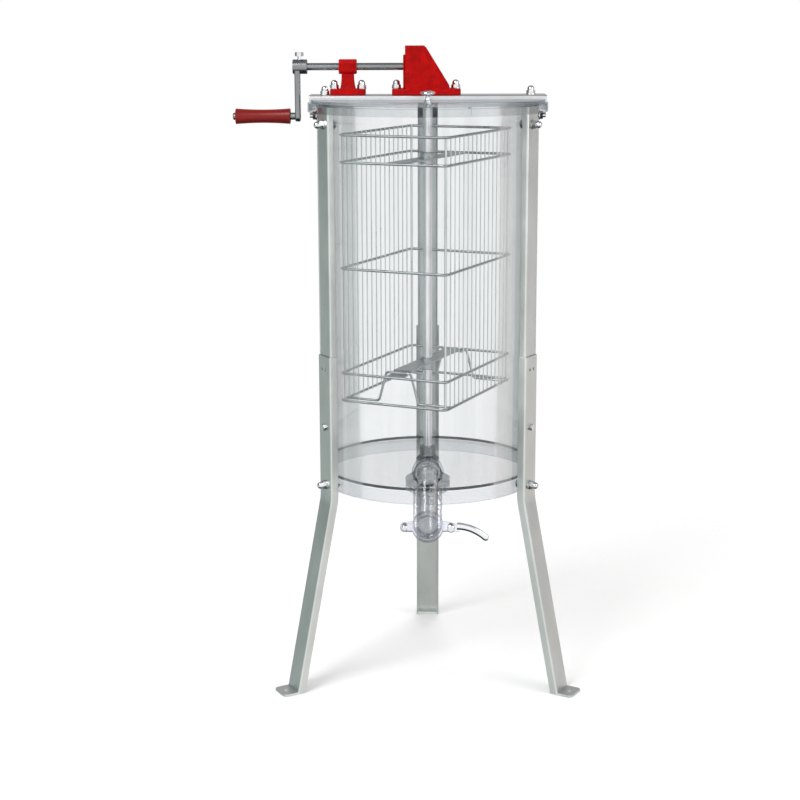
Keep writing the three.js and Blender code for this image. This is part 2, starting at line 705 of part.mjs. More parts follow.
// The gear's axis runs along -X from the apex. A gap faces the pinion, straight below.
function crankGear() {
  const options = { bore: CRANK_SHAFT_RADIUS + GAP, back: 27, phase: Math.PI / GEAR_TEETH };
  return bevelGear(GEAR_TEETH, PINION_TEETH, options)
    .rotateZ(Math.PI)
    .rotateY(Math.PI / 2)
    .translate(0, 0, CRANK_Z);
}

// The pinion's axis runs down from the apex. A tooth faces the gear, towards -X.
function pinion() {
  const options = { bore: SHAFT_NECK_RADIUS + GAP, back: 37, phase: 0 };
  return bevelGear(PINION_TEETH, GEAR_TEETH, options).rotateZ(Math.PI).translate(0, 0, CRANK_Z);
}

// ---- basket ----

function basketShaft() {
  const shoulder = CRANK_Z - 40;
  const top = CRANK_Z - 17;
  return turned([
    [0, CUP.seat + GAP],
    [SHAFT_RADIUS * 0.4, CUP.seat + GAP],
    [SHAFT_RADIUS, CUP.seat + SHAFT_RADIUS * 0.6],
    [SHAFT_RADIUS, shoulder],
    [SHAFT_NECK_RADIUS, shoulder],
    [SHAFT_NECK_RADIUS, top],
    [0, top],
  ]);
}

function topBush() {
  const { radius, flange, bottom, flangeThickness } = TOP_BUSH;
  const bore = SHAFT_RADIUS + BUSH_CLEARANCE;
  return turned([
    [bore, bottom],
    [flange, bottom],
    [flange, bottom + flangeThickness],
    [radius, bottom + flangeThickness],
    [radius, BEAM_TOP],
    [bore, BEAM_TOP],
    [bore, bottom],
  ]);
}

function floorBearing() {
  const bottom = FLOOR_THICKNESS + GAP;
  const bore = SHAFT_RADIUS + BUSH_CLEARANCE;
  const top = bottom + CUP.height;
  return turned([
    [0, bottom],
    [CUP.radius, bottom],
    [CUP.radius, top - CUP.chamfer],
    [CUP.radius - CUP.chamfer, top],
    [bore, top],
    [bore, CUP.seat],
    [0, CUP.seat],
  ]);
}

// A bent wire ring with rounded corners, closed on itself, its section a hexagon with upright sides.
function basketRing(z, bow) {
  const { halfLength, corner, wire } = BASKET;
  const halfDepth = BASKET.halfDepth + bow;
  const radius = wire / 2 / Math.cos(Math.PI / RING_FACETS);
  const bend = corner - wire / 2;
  const stations = [];
  for (let quarter = 0; quarter < 4; quarter++) {
    const signX = quarter === 0 || quarter === 3 ? 1 : -1;
    const signY = quarter < 2 ? 1 : -1;
    for (let i = 0; i <= CORNER_STEPS; i++) {
      const angle = (Math.PI / 2) * (quarter + i / CORNER_STEPS);
      const centre = [signX * (halfLength - corner), signY * (halfDepth - corner)];
      stations.push({ centre, out: [Math.cos(angle), Math.sin(angle)] });
    }
  }
  const positions = [];
  for (const { centre, out } of stations) {
    for (let i = 0; i < RING_FACETS; i++) {
      const angle = (2 * Math.PI * (i + 0.5)) / RING_FACETS;
      const reach = bend + radius * Math.cos(angle);
      positions.push(centre[0] + out[0] * reach, centre[1] + out[1] * reach, z + radius * Math.sin(angle));
    }
  }
  const geometry = new THREE.BufferGeometry();
  geometry.setAttribute("position", new THREE.Float32BufferAttribute(positions, 3));
  geometry.setIndex(closedStrips(stations.length, RING_FACETS));
  return geometry;
}

// The upright wires of one long face, each sunk a little into the top and bottom rings. The middle
// rings bow out past them, and are held by the stouter corner uprights.
function faceWires(side) {
  const low = RING_HEIGHTS.at(-1) - BASKET.wire / 2;
  const high = RING_HEIGHTS[0] + BASKET.wire / 2;
  const end = BASKET.halfLength - BASKET.wire - CORNER_WIRE;
  const near = BASKET.halfDepth - BASKET.wire - FACE_WIRE + WELD;
  return Array.from({ length: FACE_WIRES }, (_, i) => {
    const x = -end + (2 * end * i) / (FACE_WIRES - 1);
    const corner = i === 0 || i === FACE_WIRES - 1;
    const width = corner ? CORNER_WIRE : FACE_WIRE;
    const far = near + (corner ? CORNER_WIRE : FACE_WIRE);
    const y = side > 0 ? [near, far] : [-far, -near];
    return box([x - width / 2, x + width / 2], y, [low, high]);
  });
}

function basketCage() {
  const last = RING_HEIGHTS.length - 1;
  const rings = RING_HEIGHTS.map((z, i) => basketRing(z, i === 0 || i === last ? 0 : WELD + 0.1));
  return join(...rings, ...faceWires(-1), ...faceWires(1));
}

function crossBar(z) {
  const { half, thickness, hubRadius, hubHeight } = CROSS_BAR;
  const reach = BASKET.halfLength - BASKET.wire - GAP;
  const strip = box([-reach, reach], [-half, half], [z - thickness / 2, z + thickness / 2]);
  const hub = alongZ(0, 0, z - hubHeight / 2, z + hubHeight / 2, hubRadius, 24);
  return cut(join(strip, hub), alongZ(0, 0, z - hubHeight, z + hubHeight, SHAFT_RADIUS + GAP, 24));
}

// A bent wire across the bottom, low under the frames and humped over the lower cross bar.
function frameRest(side) {
  const low = RING_HEIGHTS.at(-1);
  const high = RING_HEIGHTS.at(-2) + CROSS_BAR.thickness / 2 + REST.radius - WELD;
  const end = BASKET.halfDepth - BASKET.wire - FACE_WIRE;
  const half = [[-end, low], [-REST.flatEnd, low], [-REST.humpHalf, high]];
  const points = [...half, ...half.map(([y, z]) => [-y, z]).reverse()];
  const headings = points.slice(1).map(([y, z], i) => Math.atan2(z - points[i][1], y - points[i][0]));
  const sections = points.map(([y, z], i) => {
    const before = headings[Math.max(i - 1, 0)];
    const after = headings[Math.min(i, headings.length - 1)];
    const mitre = (before + after) / 2 + Math.PI / 2;
    const stretch = 1 / Math.cos((after - before) / 2);
    return circlePoints(REST.radius, REST_FACETS).map(([u, v]) => {
      const rise = v * stretch;
      return new THREE.Vector3(side * REST.x + u, y + rise * Math.cos(mitre), z + rise * Math.sin(mitre));
    });
  });
  const outline = circlePoints(REST.radius, REST_FACETS).map(([u, v]) => new THREE.Vector2(u, v));
  return loft(sections, outline);
}

// The lower cross bar with the two frame rests welded on it.
function bottomFrame() {
  return join(crossBar(RING_HEIGHTS.at(-2)), frameRest(-1), frameRest(1));
}

// ---- honey gate ----

function outletPath(start, end) {
  const bendIn = new THREE.Vector3(0, -196, OUTLET.z - 1);
  const bendOut = new THREE.Vector3(0, OUTLET.mouthY + 14, OUTLET.mouthZ + 1);
  const middle = bendIn.clone().add(bendOut).multiplyScalar(0.5);
  return new THREE.CatmullRomCurve3([
    new THREE.Vector3(0, start, OUTLET.z),
    bendIn,
    middle,
    bendOut,
    new THREE.Vector3(0, end, OUTLET.mouthZ),
  ]);
}

function outletElbow() {
  const { z, stub, pipe, bore, mouth, mouthY, mouthZ } = OUTLET;
  const stubRod = alongY(-170, -193, 0, z, stub, 24);
  const pipeRod = alongPath(pipe, outletPath(-189, mouthY + 5), 8, 9);
  const collarNormal = new THREE.Vector3(0, -Math.cos(COLLAR.tilt), -Math.sin(COLLAR.tilt));
  const collarBack = new THREE.Vector3(0, COLLAR.y, COLLAR.z);
  const collarFront = collarBack.clone().addScaledVector(collarNormal, COLLAR.thickness);
  const collar = rod(collarBack, collarFront, COLLAR.radius, 8);
  const mouthRing = alongY(mouthY + MOUTH_RING, mouthY, 0, mouthZ, mouth, 24);
  const lugBack = mouthY + LUG.thickness;
  const lugHalf = LUG.radius - 1;
  const lugBar = box([-LUG.x, LUG.x], [mouthY, lugBack], [mouthZ - lugHalf, mouthZ + lugHalf]);
  const lugEnds = [-1, 1].map((side) => alongY(lugBack, mouthY, side * LUG.x, mouthZ, LUG.radius, 12));
  const boreRod = alongPath(bore, outletPath(-160, mouthY - 10), 8, 7);
  const screwHoles = [-1, 1].map((side) =>
    alongY(lugBack + 1, mouthY - 1, side * LUG.x, mouthZ, GATE_SCREW + HOLE_CLEARANCE, 12),
  );
  return cut(join(stubRod, pipeRod, collar, mouthRing, lugBar, ...lugEnds), boreRod, ...screwHoles);
}

function stubHole() {
  return alongY(WALL_NUT.back + CUT_MARGIN, GASKET.front - CUT_MARGIN, 0, OUTLET.z, OUTLET.stub + 0.5, 24);
}

// Follows the drum's round wall on one face and lies flat under the nut on the other.
function outletGasket() {
  const disc = alongY(GASKET.back, GASKET.front, 0, OUTLET.z, GASKET.radius, 24);
  const inside = alongZ(0, 0, 0, OUTLET.z + 2 * GASKET.radius, DRUM_INSIDE - GAP, DRUM_FACETS);
  return cut(common(disc, inside), stubHole());
}

function outletNut() {
  return cut(alongY(WALL_NUT.back, WALL_NUT.front, 0, OUTLET.z, WALL_NUT.radius, 8), stubHole());
}

function gateSlide() {
  const { mouth, mouthY, mouthZ } = OUTLET;
  const back = mouthY - GAP;
  const front = back - GATE_PLATE;
  const disc = alongY(back, front, 0, mouthZ, mouth, 32);
  const armZ = [mouthZ - LUG.radius, mouthZ + LUG.radius];
  const arm = box([-LUG.x, LUG.x + SLIDE.overhang], [front, back], armZ);
  const end = alongY(back, front, -LUG.x, mouthZ, LUG.radius, 16);
  const pivotHole = alongY(back + 1, front - 1, -LUG.x, mouthZ, GATE_SCREW + HOLE_CLEARANCE, 16);
  const notchHalf = GATE_SCREW + SLIDE.notchMargin;
  const notch = box(
    [LUG.x - notchHalf, LUG.x + notchHalf],
    [front - CUT_MARGIN, back + CUT_MARGIN],
    [mouthZ - SLIDE.notchDrop, mouthZ + notchHalf - 1],
  );
  return cut(join(disc, arm, end), pivotHole, notch);
}

// A curved blade of oval section with a round tip, just in front of the slide.
function gateLever() {
  const y = OUTLET.mouthY - GAP - GATE_PLATE - GAP - LEVER.depth;
  const path = new THREE.CatmullRomCurve3(LEVER_LINE.map(([x, z]) => new THREE.Vector3(x, y, z)));
  const section = new THREE.Shape().absellipse(0, 0, LEVER.depth, LEVER.height, 0, 2 * Math.PI, false, 0);
  const options = { steps: 8, curveSegments: 6, extrudePath: path, bevelEnabled: false };
  const [tipX, tipZ] = LEVER_LINE.at(-1);
  const tip = new THREE.SphereGeometry(LEVER.tip, 10, 6).scale(1, LEVER.depth / LEVER.tip, 1);
  return join(new THREE.ExtrudeGeometry(section, options), tip.translate(tipX, y, tipZ));
}

function gateScrew(side, head) {
  const { mouthY, mouthZ } = OUTLET;
  const headBack = mouthY - GAP - GATE_PLATE - GAP;
  const nutFront = mouthY + LUG.thickness + GAP;
  const x = side * LUG.x;
  const nutBack = nutFront + GATE_NUT.length;
  const cap = alongY(headBack, headBack - head.height, x, mouthZ, head.radius, 12);
  const shank = alongY(headBack - 1, nutBack + 1, x, mouthZ, GATE_SCREW, 12);
  const nut = alongY(nutFront, nutBack, x, mouthZ, GATE_NUT.radius, 6);
  return join(cap, shank, nut);
}

// ---- assembly ----

const FINISHES = {
  clear: { color: 0xe8eeee, roughness: 0.06, metalness: 0, transparent: true, opacity: 0.3 },
  steel: { color: 0x9da6a3, roughness: 0.4, metalness: 0.9 },
  bright: { color: 0xc9cccd, roughness: 0.25, metalness: 1 },
  wire: { color: 0x8f9a9c, roughness: 0.35, metalness: 0.9 },
  chrome: { color: 0xdde2e4, roughness: 0.08, metalness: 1 },
  redPaint: { color: 0xc8161a, roughness: 0.45, metalness: 0 },
  redGrip: { color: 0x9c1714, roughness: 0.3, metalness: 0 },
  brass: { color: 0xb59a5a, roughness: 0.4, metalness: 0.9 },
  rubber: { color: 0xb8bdbd, roughness: 0.8, metalness: 0 },
};

const extractor = new THREE.Group();
const basket = new THREE.Group();
basket.rotation.z = BASKET_TURN;
extractor.add(basket);

function add(name, geometry, finish, parent = extractor) {
  const closed = toGeometry(toSolid(geometry));
  const mesh = new THREE.Mesh(closed, new THREE.MeshStandardMaterial(FINISHES[finish]));
  mesh.name = name;
  parent.add(mesh);
}

add("drum_shell", drumShell(), "clear");
add("drum_floor", drumFloor(), "clear");
for (let i = 0; i < RIM_SEGMENTS; i++) add(`rim_segment_${i + 1}`, rimSegment(i), "clear");

for (const [name, azimuth] of Object.entries(LEG_AZIMUTHS)) {
  add(`upper_leg_${name}`, upperLeg(azimuth), "steel");
  add(`lower_leg_${name}`, lowerLeg(azimuth), "steel");
  add(`leg_top_bolt_${name}`, throughWallBolt(azimuth, TOP_BOLT_Z, UPPER_LEG.outer + GAP), "bright");
  add(`leg_middle_bolt_${name}`, middleBolt(azimuth), "bright");
  add(`leg_low_bolt_${name}`, throughWallBolt(azimuth, LOW_BOLT_Z, LOWER_LEG.outer + GAP), "bright");
}

add("top_beam", beam(), "bright");
for (const [name, side] of [["left", -1], ["right", 1]]) {
  add(`beam_bracket_${name}`, bracket(side), "steel");
  add(`bracket_bolt_${name}`, bracketBolt(side), "bright");
  add(`beam_bolt_${name}`, beamBolt(side), "bright");
}

for (const [name, side] of [["front", -1], ["rear", 1]]) {
  add(`lid_${name}`, lid(side), "clear");
  add(`lid_knob_${name}`, lidKnob(side), "chrome");
}

add("gear_housing", gearHousing(), "redPaint");
add("housing_bearing_plate", bearingPlate(), "redPaint");
add("crank_bush_inner", plateBush(), "brass");
add("bearing_pedestal", pedestal(), "redPaint");
add("crank_bush_outer", pedestalBush(), "brass");
castingBoltXs().forEach((x, i) => {
  const onPedestal = i < 2;
  const name = `${onPedestal ? "pedestal" : "housing"}_bolt_${i % 2 ? "right" : "left"}`;
  add(name, castingBolt(x, onPedestal ? PEDESTAL.baseTop : HOUSING.baseTop), "bright");
});

add("crank_shaft", crankShaft(), "steel");
add("crank_gear", crankGear(), "steel");
add("crank_arm", crankArm(), "steel");
add("crank_set_screw", setScrew(), "bright");
add("grip_spindle", gripSpindle(), "steel");
add("crank_grip", crankGrip(), "redGrip");

add("shaft_top_bush", topBush(), "brass");
add("floor_bearing", floorBearing(), "steel");
add("basket_shaft", basketShaft(), "steel");
add("shaft_pinion", pinion(), "steel");
add("basket_cage", basketCage(), "wire", basket);
add("cross_bar_upper", crossBar(RING_HEIGHTS[1]), "steel", basket);
add("cross_bar_lower", bottomFrame(), "steel", basket);

add("outlet_elbow", outletElbow(), "clear");
add("outlet_gasket", outletGasket(), "rubber");
add("outlet_nut", outletNut(), "clear");
add("gate_slide", gateSlide(), "clear");
add("gate_lever", gateLever(), "chrome");
add("gate_pivot_screw", gateScrew(-1, SCREW_HEADS.pivot), "bright");
add("gate_clamp_screw", gateScrew(1, SCREW_HEADS.clamp), "bright");

export default extractor;
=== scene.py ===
# The looks of a hand-cranked honey extractor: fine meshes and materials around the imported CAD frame.
# Metres, +Z up, front towards -Y. Azimuths count from the front towards +X.
import math

import bmesh
import bpy
from mathutils import Matrix, Vector

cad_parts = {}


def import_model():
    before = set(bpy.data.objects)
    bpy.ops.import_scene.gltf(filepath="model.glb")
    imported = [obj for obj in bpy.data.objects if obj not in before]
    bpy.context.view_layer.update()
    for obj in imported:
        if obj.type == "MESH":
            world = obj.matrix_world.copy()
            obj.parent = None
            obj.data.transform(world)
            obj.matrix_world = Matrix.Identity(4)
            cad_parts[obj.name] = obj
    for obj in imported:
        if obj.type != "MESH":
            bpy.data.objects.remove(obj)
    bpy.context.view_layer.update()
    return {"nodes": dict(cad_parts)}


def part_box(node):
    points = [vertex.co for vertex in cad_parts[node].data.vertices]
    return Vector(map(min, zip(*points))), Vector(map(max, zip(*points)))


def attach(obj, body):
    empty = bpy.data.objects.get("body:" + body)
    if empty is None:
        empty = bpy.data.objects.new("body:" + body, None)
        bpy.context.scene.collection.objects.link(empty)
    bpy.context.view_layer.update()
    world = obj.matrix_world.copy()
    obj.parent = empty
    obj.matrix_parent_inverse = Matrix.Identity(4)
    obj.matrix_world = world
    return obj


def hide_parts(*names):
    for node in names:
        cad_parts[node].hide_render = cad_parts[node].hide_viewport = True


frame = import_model()

MM = 0.001
CLEAR = 5 * MM  # how far a cutter runs past what it cuts
UP = Vector((0, 0, 1))
SIDES = {"left": -1, "right": 1}

# ---- mesh building ----


def new_object(points, faces, name="piece"):
    """A mesh object with its faces turned outward. dress() gives a piece its own name."""
    mesh = bpy.data.meshes.new(name)
    mesh.from_pydata([tuple(point) for point in points], [], faces)
    turned = bmesh.new()
    turned.from_mesh(mesh)
    bmesh.ops.recalc_face_normals(turned, faces=turned.faces)
    turned.to_mesh(mesh)
    turned.free()
    made = bpy.data.objects.new(name, mesh)
    bpy.context.scene.collection.objects.link(made)
    return made


def skin(rows, closed=False, caps=True):
    """A surface through rows of points. A row of one point is a pole. Open ends get flat caps."""
    points = [point for row in rows for point in row]
    starts = [sum(len(row) for row in rows[:i]) for i in range(len(rows))]
    faces = []
    pairs = list(zip(range(len(rows) - 1), range(1, len(rows))))
    if closed:
        pairs.append((len(rows) - 1, 0))
    for low, high in pairs:
        a, b = starts[low], starts[high]
        count = max(len(rows[low]), len(rows[high]))
        for i in range(count):
            j = (i + 1) % count
            lower = [a] if len(rows[low]) == 1 else [a + i, a + j]
            upper = [b] if len(rows[high]) == 1 else [b + j, b + i]
            faces.append(lower + upper)
    if caps and not closed:
        for index, flip in ((0, True), (len(rows) - 1, False)):
            if len(rows[index]) > 1:
                ring = [starts[index] + i for i in range(len(rows[index]))]
                faces.append(ring[::-1] if flip else ring)
    return new_object(points, faces)


def revolve(profile, matrix=Matrix.Identity(4), segments=64):
    """Turns a profile about local Z. An entry is (radius, height), or gives that for an angle."""
    rows = []
    for entry in profile:
        row = []
        for i in range(segments):
            angle = 2 * math.pi * i / segments
            radius, height = entry(angle) if callable(entry) else entry
            row.append(matrix @ Vector((radius * math.cos(angle), radius * math.sin(angle), height)))
            if radius == 0:
                break
        rows.append(row)
    return skin(rows, closed=len(rows[0]) > 1)


def loft(outline, stations):
    """Carries a closed outline of (x, y) points through matrices."""
    return skin([[matrix @ Vector((x, y, 0)) for x, y in outline] for matrix in stations])


def prism(outline, low, high, matrix=Matrix.Identity(4)):
    return loft(outline, [matrix @ Matrix.Translation((0, 0, height)) for height in (low, high)])


def along_x(outline, low, high):
    """A bar along X, from an outline of (y, z) points."""
    return skin([[Vector((x, y, z)) for y, z in outline] for x in (low, high)])


def along_y(outline, low, high):
    """A bar along Y, from an outline of (x, z) points."""
    return skin([[Vector((x, y, z)) for x, z in outline] for y in (low, high)])


def sweep(path, section, up, closed=False):
    """Carries a section along a smooth path. It is a list of (side, rise), or gives that for a share."""
    rows = []
    last = len(path) - 1
    for i, point in enumerate(path):
        ahead = path[(i + 1) % len(path)] if closed or i < last else point
        behind = path[i - 1] if closed or i > 0 else point
        tangent = (ahead - behind).normalized()
        side = tangent.cross(up).normalized()
        rise = side.cross(tangent)
        outline = section(i / last) if callable(section) else section
        rows.append([point + side * u + rise * v for u, v in outline])
    return skin(rows, closed)


def fillet(points, radii, steps=6, closed=True):
    """Rounds a polygon's corners. radii is one radius, or one for each point; zero leaves it sharp."""
    count = len(points)
    radii = radii if isinstance(radii, (list, tuple)) else [radii] * count
    made = []
    for i, point in enumerate(points):
        corner = Vector(point)
        if radii[i] == 0 or (not closed and i in (0, count - 1)):
            made.append(corner)
            continue
        before = (Vector(points[i - 1]) - corner).normalized()
        after = (Vector(points[(i + 1) % count]) - corner).normalized()
        half = before.angle(after) / 2
        centre = corner + (before + after).normalized() * radii[i] / math.sin(half)
        start = corner + before * radii[i] / math.tan(half) - centre
        end = corner + after * radii[i] / math.tan(half) - centre
        sweep_angle = start.angle(end)
        for step in range(steps + 1):
            share = step / steps
            near = math.sin((1 - share) * sweep_angle) / math.sin(sweep_angle)
            far = math.sin(share * sweep_angle) / math.sin(sweep_angle)
            made.append(centre + start * near + end * far)
    return made


def circle(radius, count=16, stretch=1.0):
    turns = [2 * math.pi * i / count for i in range(count)]
    return [(radius * math.cos(turn), radius * stretch * math.sin(turn)) for turn in turns]


def rectangle(low_x, high_x, low_y, high_y):
    return [(low_x, low_y), (high_x, low_y), (high_x, high_y), (low_x, high_y)]


def applied(piece):
    """Applies the modifiers and joins the points that they leave within a few microns of each other."""
    graph = bpy.context.evaluated_depsgraph_get()
    mesh = bpy.data.meshes.new_from_object(piece.evaluated_get(graph))
    piece.modifiers.clear()
    joined = bmesh.new()
    joined.from_mesh(mesh)
    bmesh.ops.remove_doubles(joined, verts=joined.verts, dist=0.004 * MM)
    bmesh.ops.dissolve_degenerate(joined, dist=0.002 * MM, edges=joined.edges)
    joined.to_mesh(mesh)
    joined.free()
    piece.data = mesh
    return piece


def soften(piece, width, segments=3, angle=28):
    """Rounds the sharp edges."""
    rounding = piece.modifiers.new("round", "BEVEL")
    rounding.width = width
    rounding.segments = segments
    rounding.limit_method = "ANGLE"
    rounding.angle_limit = math.radians(angle)
    return applied(piece)


def combine(piece, operation, *others):
    for other in others:
        step = piece.modifiers.new("combine", "BOOLEAN")
        step.operation = operation
        step.solver = "EXACT"
        step.object = other
        applied(piece)
        bpy.data.objects.remove(other)
    return piece


def drill(piece, radius, *lines):
    """Cuts round holes along (start, end) lines."""
    return combine(piece, "DIFFERENCE", *[rod(start, end, radius) for start, end in lines])


def through(start, end):
    """A line for drill() that runs clear of both points."""
    start, end = Vector(start), Vector(end)
    past = (end - start).normalized() * CLEAR
    return start - past, end + past


def pointing(origin, direction):
    """A matrix that takes local Z to a direction and the origin to a point."""
    turn = Vector(direction).to_track_quat("Z", "Y").to_matrix().to_4x4()
    return Matrix.Translation(origin) @ turn


def rod(start, end, radius, segments=32, chamfer=0):
    start, end = Vector(start), Vector(end)
    length = (end - start).length
    profile = [(0, 0), (radius - chamfer, 0), (radius - chamfer, length), (0, length)]
    if chamfer:
        profile[2:2] = [(radius, chamfer), (radius, length - chamfer)]
    return revolve(profile, pointing(start, end - start), segments)


# ---- places ----


def outward(azimuth):
    angle = math.radians(azimuth)
    return Vector((math.sin(angle), -math.cos(angle), 0))


def leg_frame(azimuth, height=0.0, shift=0.0):
    """Local X points out from the drum's axis."""
    turn = Matrix.Rotation(math.radians(azimuth - 90), 4, "Z")
    return turn @ Matrix.Translation((shift, 0, height))


def span(cad_node, direction):
    """How far a CAD node reaches along a direction, from the origin."""
    reach = [vertex.co.dot(direction) for vertex in frame["nodes"][cad_node].data.vertices]
    return min(reach), max(reach)


def middle(cad_node):
    low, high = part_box(cad_node)
    return (low + high) / 2


BASKET_TURN = math.radians(65.8)
BASKET_FRAME = Matrix.Rotation(BASKET_TURN, 4, "Z")
BASKET_X = BASKET_FRAME @ Vector((1, 0, 0))
BASKET_Y = BASKET_FRAME @ Vector((0, 1, 0))

# ---- material nodes ----


def feed(tree, socket, value):
    """Links an input to another node's socket, or sets it to a plain value."""
    if isinstance(value, bpy.types.NodeSocket):
        tree.links.new(value, socket)
    else:
        socket.default_value = value


def node(tree, kind, **inputs):
    made = tree.nodes.new(kind)
    for key, value in inputs.items():
        feed(tree, made.inputs[key.replace("_", " ")], value)
    return made


def operate(tree, kind, operation, *values):
    """The outputs of a maths node that is fed in order."""
    made = node(tree, kind)
    made.operation = operation
    for socket, value in zip(made.inputs, values):
        feed(tree, socket, value)
    return made.outputs


def maths(tree, operation, a, b=0.0):
    return operate(tree, "ShaderNodeMath", operation, a, b)[0]


def blend(tree, share, a, b):
    """A colour between two colours or colour sockets."""
    made = node(tree, "ShaderNodeMix")
    made.data_type = "RGBA"
    for index, value in ((0, share), (6, a), (7, b)):
        feed(tree, made.inputs[index], value)
    return made.outputs[2]


def mixed(tree, share, first, second):
    """A shader between two shaders."""
    made = node(tree, "ShaderNodeMixShader", Fac=share)
    tree.links.new(first.outputs[0], made.inputs[1])
    tree.links.new(second.outputs[0], made.inputs[2])
    return made


def rescale(tree, value, low, high, to_low, to_high):
    ranges = {"From_Min": low, "From_Max": high, "To_Min": to_low, "To_Max": to_high}
    return node(tree, "ShaderNodeMapRange", Value=value, **ranges).outputs[0]


def noise(tree, scale, stretch=(1, 1, 1), detail=3.0, roughness=0.5):
    """Noise in the object's own metres. stretch below one draws it out along that axis."""
    place = node(tree, "ShaderNodeTexCoord").outputs["Object"]
    spread = node(tree, "ShaderNodeMapping", Vector=place, Scale=stretch).outputs[0]
    look = {"Scale": scale, "Detail": detail, "Roughness": roughness}
    return node(tree, "ShaderNodeTexNoise", Vector=spread, **look).outputs[0]


def bump(tree, height, strength, distance):
    made = node(tree, "ShaderNodeBump", Height=height, Strength=strength, Distance=distance)
    return made.outputs["Normal"]


MATERIALS = {}


def start_material(name):
    material = bpy.data.materials.new(name)
    material.use_nodes = True
    material.node_tree.nodes.clear()
    MATERIALS[name] = material
    return material.node_tree


def show(tree, shader, kind="ShaderNodeOutputMaterial"):
    tree.links.new(shader.outputs[0], node(tree, kind).inputs[0])


def principled(tree, **inputs):
    show(tree, node(tree, "ShaderNodeBsdfPrincipled", **inputs))


def rgb(red, green, blue):
    return (red, green, blue, 1.0)


def steel(name, colour, roughness, grain=(1, 1, 0.02), grain_scale=900, cloud=0.12, depth=0.00004):
    """Stainless steel: a fine directional grain, a cloudy tone and slightly uneven roughness."""
    tree = start_material(name)
    clouds = noise(tree, 22, (1, 1, 0.6), 4.0, 0.55)
    lines = noise(tree, grain_scale, grain, 2.0, 0.6)
    dark = rgb(*(channel * (1 - cloud) for channel in colour))
    light = rgb(*(min(1, channel * (1 + cloud)) for channel in colour))
    tone = blend(tree, rescale(tree, clouds, 0.3, 0.7, 0, 1), dark, light)
    tone = blend(tree, rescale(tree, lines, 0.35, 0.65, 0, 0.18), tone, dark)
    uneven = rescale(tree, clouds, 0.3, 0.7, roughness * 0.85, roughness * 1.2)
    grooves = bump(tree, lines, 0.25, depth)
    principled(tree, Base_Color=tone, Metallic=1.0, Roughness=uneven, Normal=grooves)


def red_casting(name, colour, roughness, lump):
    """Thick enamel over a sand casting: orange peel, a few pits, and a darker tone in the hollows."""
    tree = start_material(name)
    peel = noise(tree, 420, (1, 1, 1), 3.0, 0.6)
    sand = noise(tree, 90, (1, 1, 1), 4.0, 0.6)
    drips = noise(tree, 130, (1, 1, 0.08), 3.0, 0.5)
    relief = maths(tree, "ADD", maths(tree, "MULTIPLY", peel, 0.35), maths(tree, "MULTIPLY", drips, lump))
    relief = maths(tree, "ADD", relief, maths(tree, "MULTIPLY", sand, 0.5))
    deep = rgb(colour[0] * 0.62, colour[1] * 0.45, colour[2] * 0.5)
    tone = blend(tree, rescale(tree, sand, 0.32, 0.62, 0, 1), deep, rgb(*colour))
    tone = blend(tree, rescale(tree, drips, 0.45, 0.75, 0, 0.45), tone, deep)
    uneven = rescale(tree, peel, 0.3, 0.7, roughness * 0.85, roughness * 1.25)
    lumps = bump(tree, relief, 0.55, 0.0006)
    principled(tree, Base_Color=tone, Roughness=uneven, Normal=lumps, Specular_IOR_Level=0.09)


def grip_plastic(name, colour):
    """Turned and lacquered grip: long dark streaks under a gloss coat."""
    tree = start_material(name)
    streaks = noise(tree, 160, (0.06, 1, 1), 4.0, 0.6)
    patches = noise(tree, 40, (0.4, 1, 1), 3.0, 0.5)
    deep = rgb(colour[0] * 0.55, colour[1] * 0.5, colour[2] * 0.5)
    tone = blend(tree, rescale(tree, streaks, 0.35, 0.7, 0, 0.8), rgb(*colour), deep)
    tone = blend(tree, rescale(tree, patches, 0.45, 0.7, 0, 0.35), tone, deep)
    ridges = bump(tree, streaks, 0.2, 0.0003)
    principled(tree, Base_Color=tone, Roughness=0.30, Normal=ridges, Specular_IOR_Level=0.32)


def acrylic(name, face, edge, sheen=0.55, streaks=0.03, power=4.0, edge_on=None, shade_below_floor=None):
    """Clear acrylic without refraction: each wall takes away a little light, more where it is seen on
    edge, and reflects by Fresnel. edge_on is the tint of cut edges, which face sideways, and the last
    argument is painted shade: a darker tint for the wall below the floor plate."""
    tree = start_material(name)
    facing = node(tree, "ShaderNodeLayerWeight", Blend=0.5).outputs["Facing"]
    tint = blend(tree, maths(tree, "POWER", facing, power), rgb(*face), rgb(*edge))
    haze = noise(tree, 30, (1, 1, 0.04), 4.0, 0.65)
    tint = blend(tree, rescale(tree, haze, 0.42, 0.72, 0, streaks), tint, rgb(0.45, 0.48, 0.49))
    if edge_on:
        normal = node(tree, "ShaderNodeNewGeometry").outputs["Normal"]
        upward = node(tree, "ShaderNodeSeparateXYZ", Vector=normal).outputs["Z"]
        upward = maths(tree, "ABSOLUTE", upward)
        tint = blend(tree, rescale(tree, upward, 0.35, 0.6, 1, 0), tint, rgb(*edge_on))
    # Painted shade: the wall below the floor plate is tinted darker than the wall above it.
    if shade_below_floor:
        place = node(tree, "ShaderNodeTexCoord").outputs["Object"]
        height = node(tree, "ShaderNodeSeparateXYZ", Vector=place).outputs["Z"]
        tint = blend(tree, rescale(tree, height, -0.001, 0.001, 1, 0), tint, rgb(*shade_below_floor))
    ripple = bump(tree, noise(tree, 9, (1, 1, 0.4), 2.0, 0.4), 0.15, 0.002)
    clear = node(tree, "ShaderNodeBsdfTransparent", Color=tint)
    shine = node(tree, "ShaderNodeBsdfGlossy", Color=rgb(1, 1, 1), Roughness=0.06, Normal=ripple)
    fresnel = node(tree, "ShaderNodeFresnel", IOR=1.49, Normal=ripple).outputs[0]
    show(tree, mixed(tree, maths(tree, "MULTIPLY", fresnel, sheen), clear, shine))
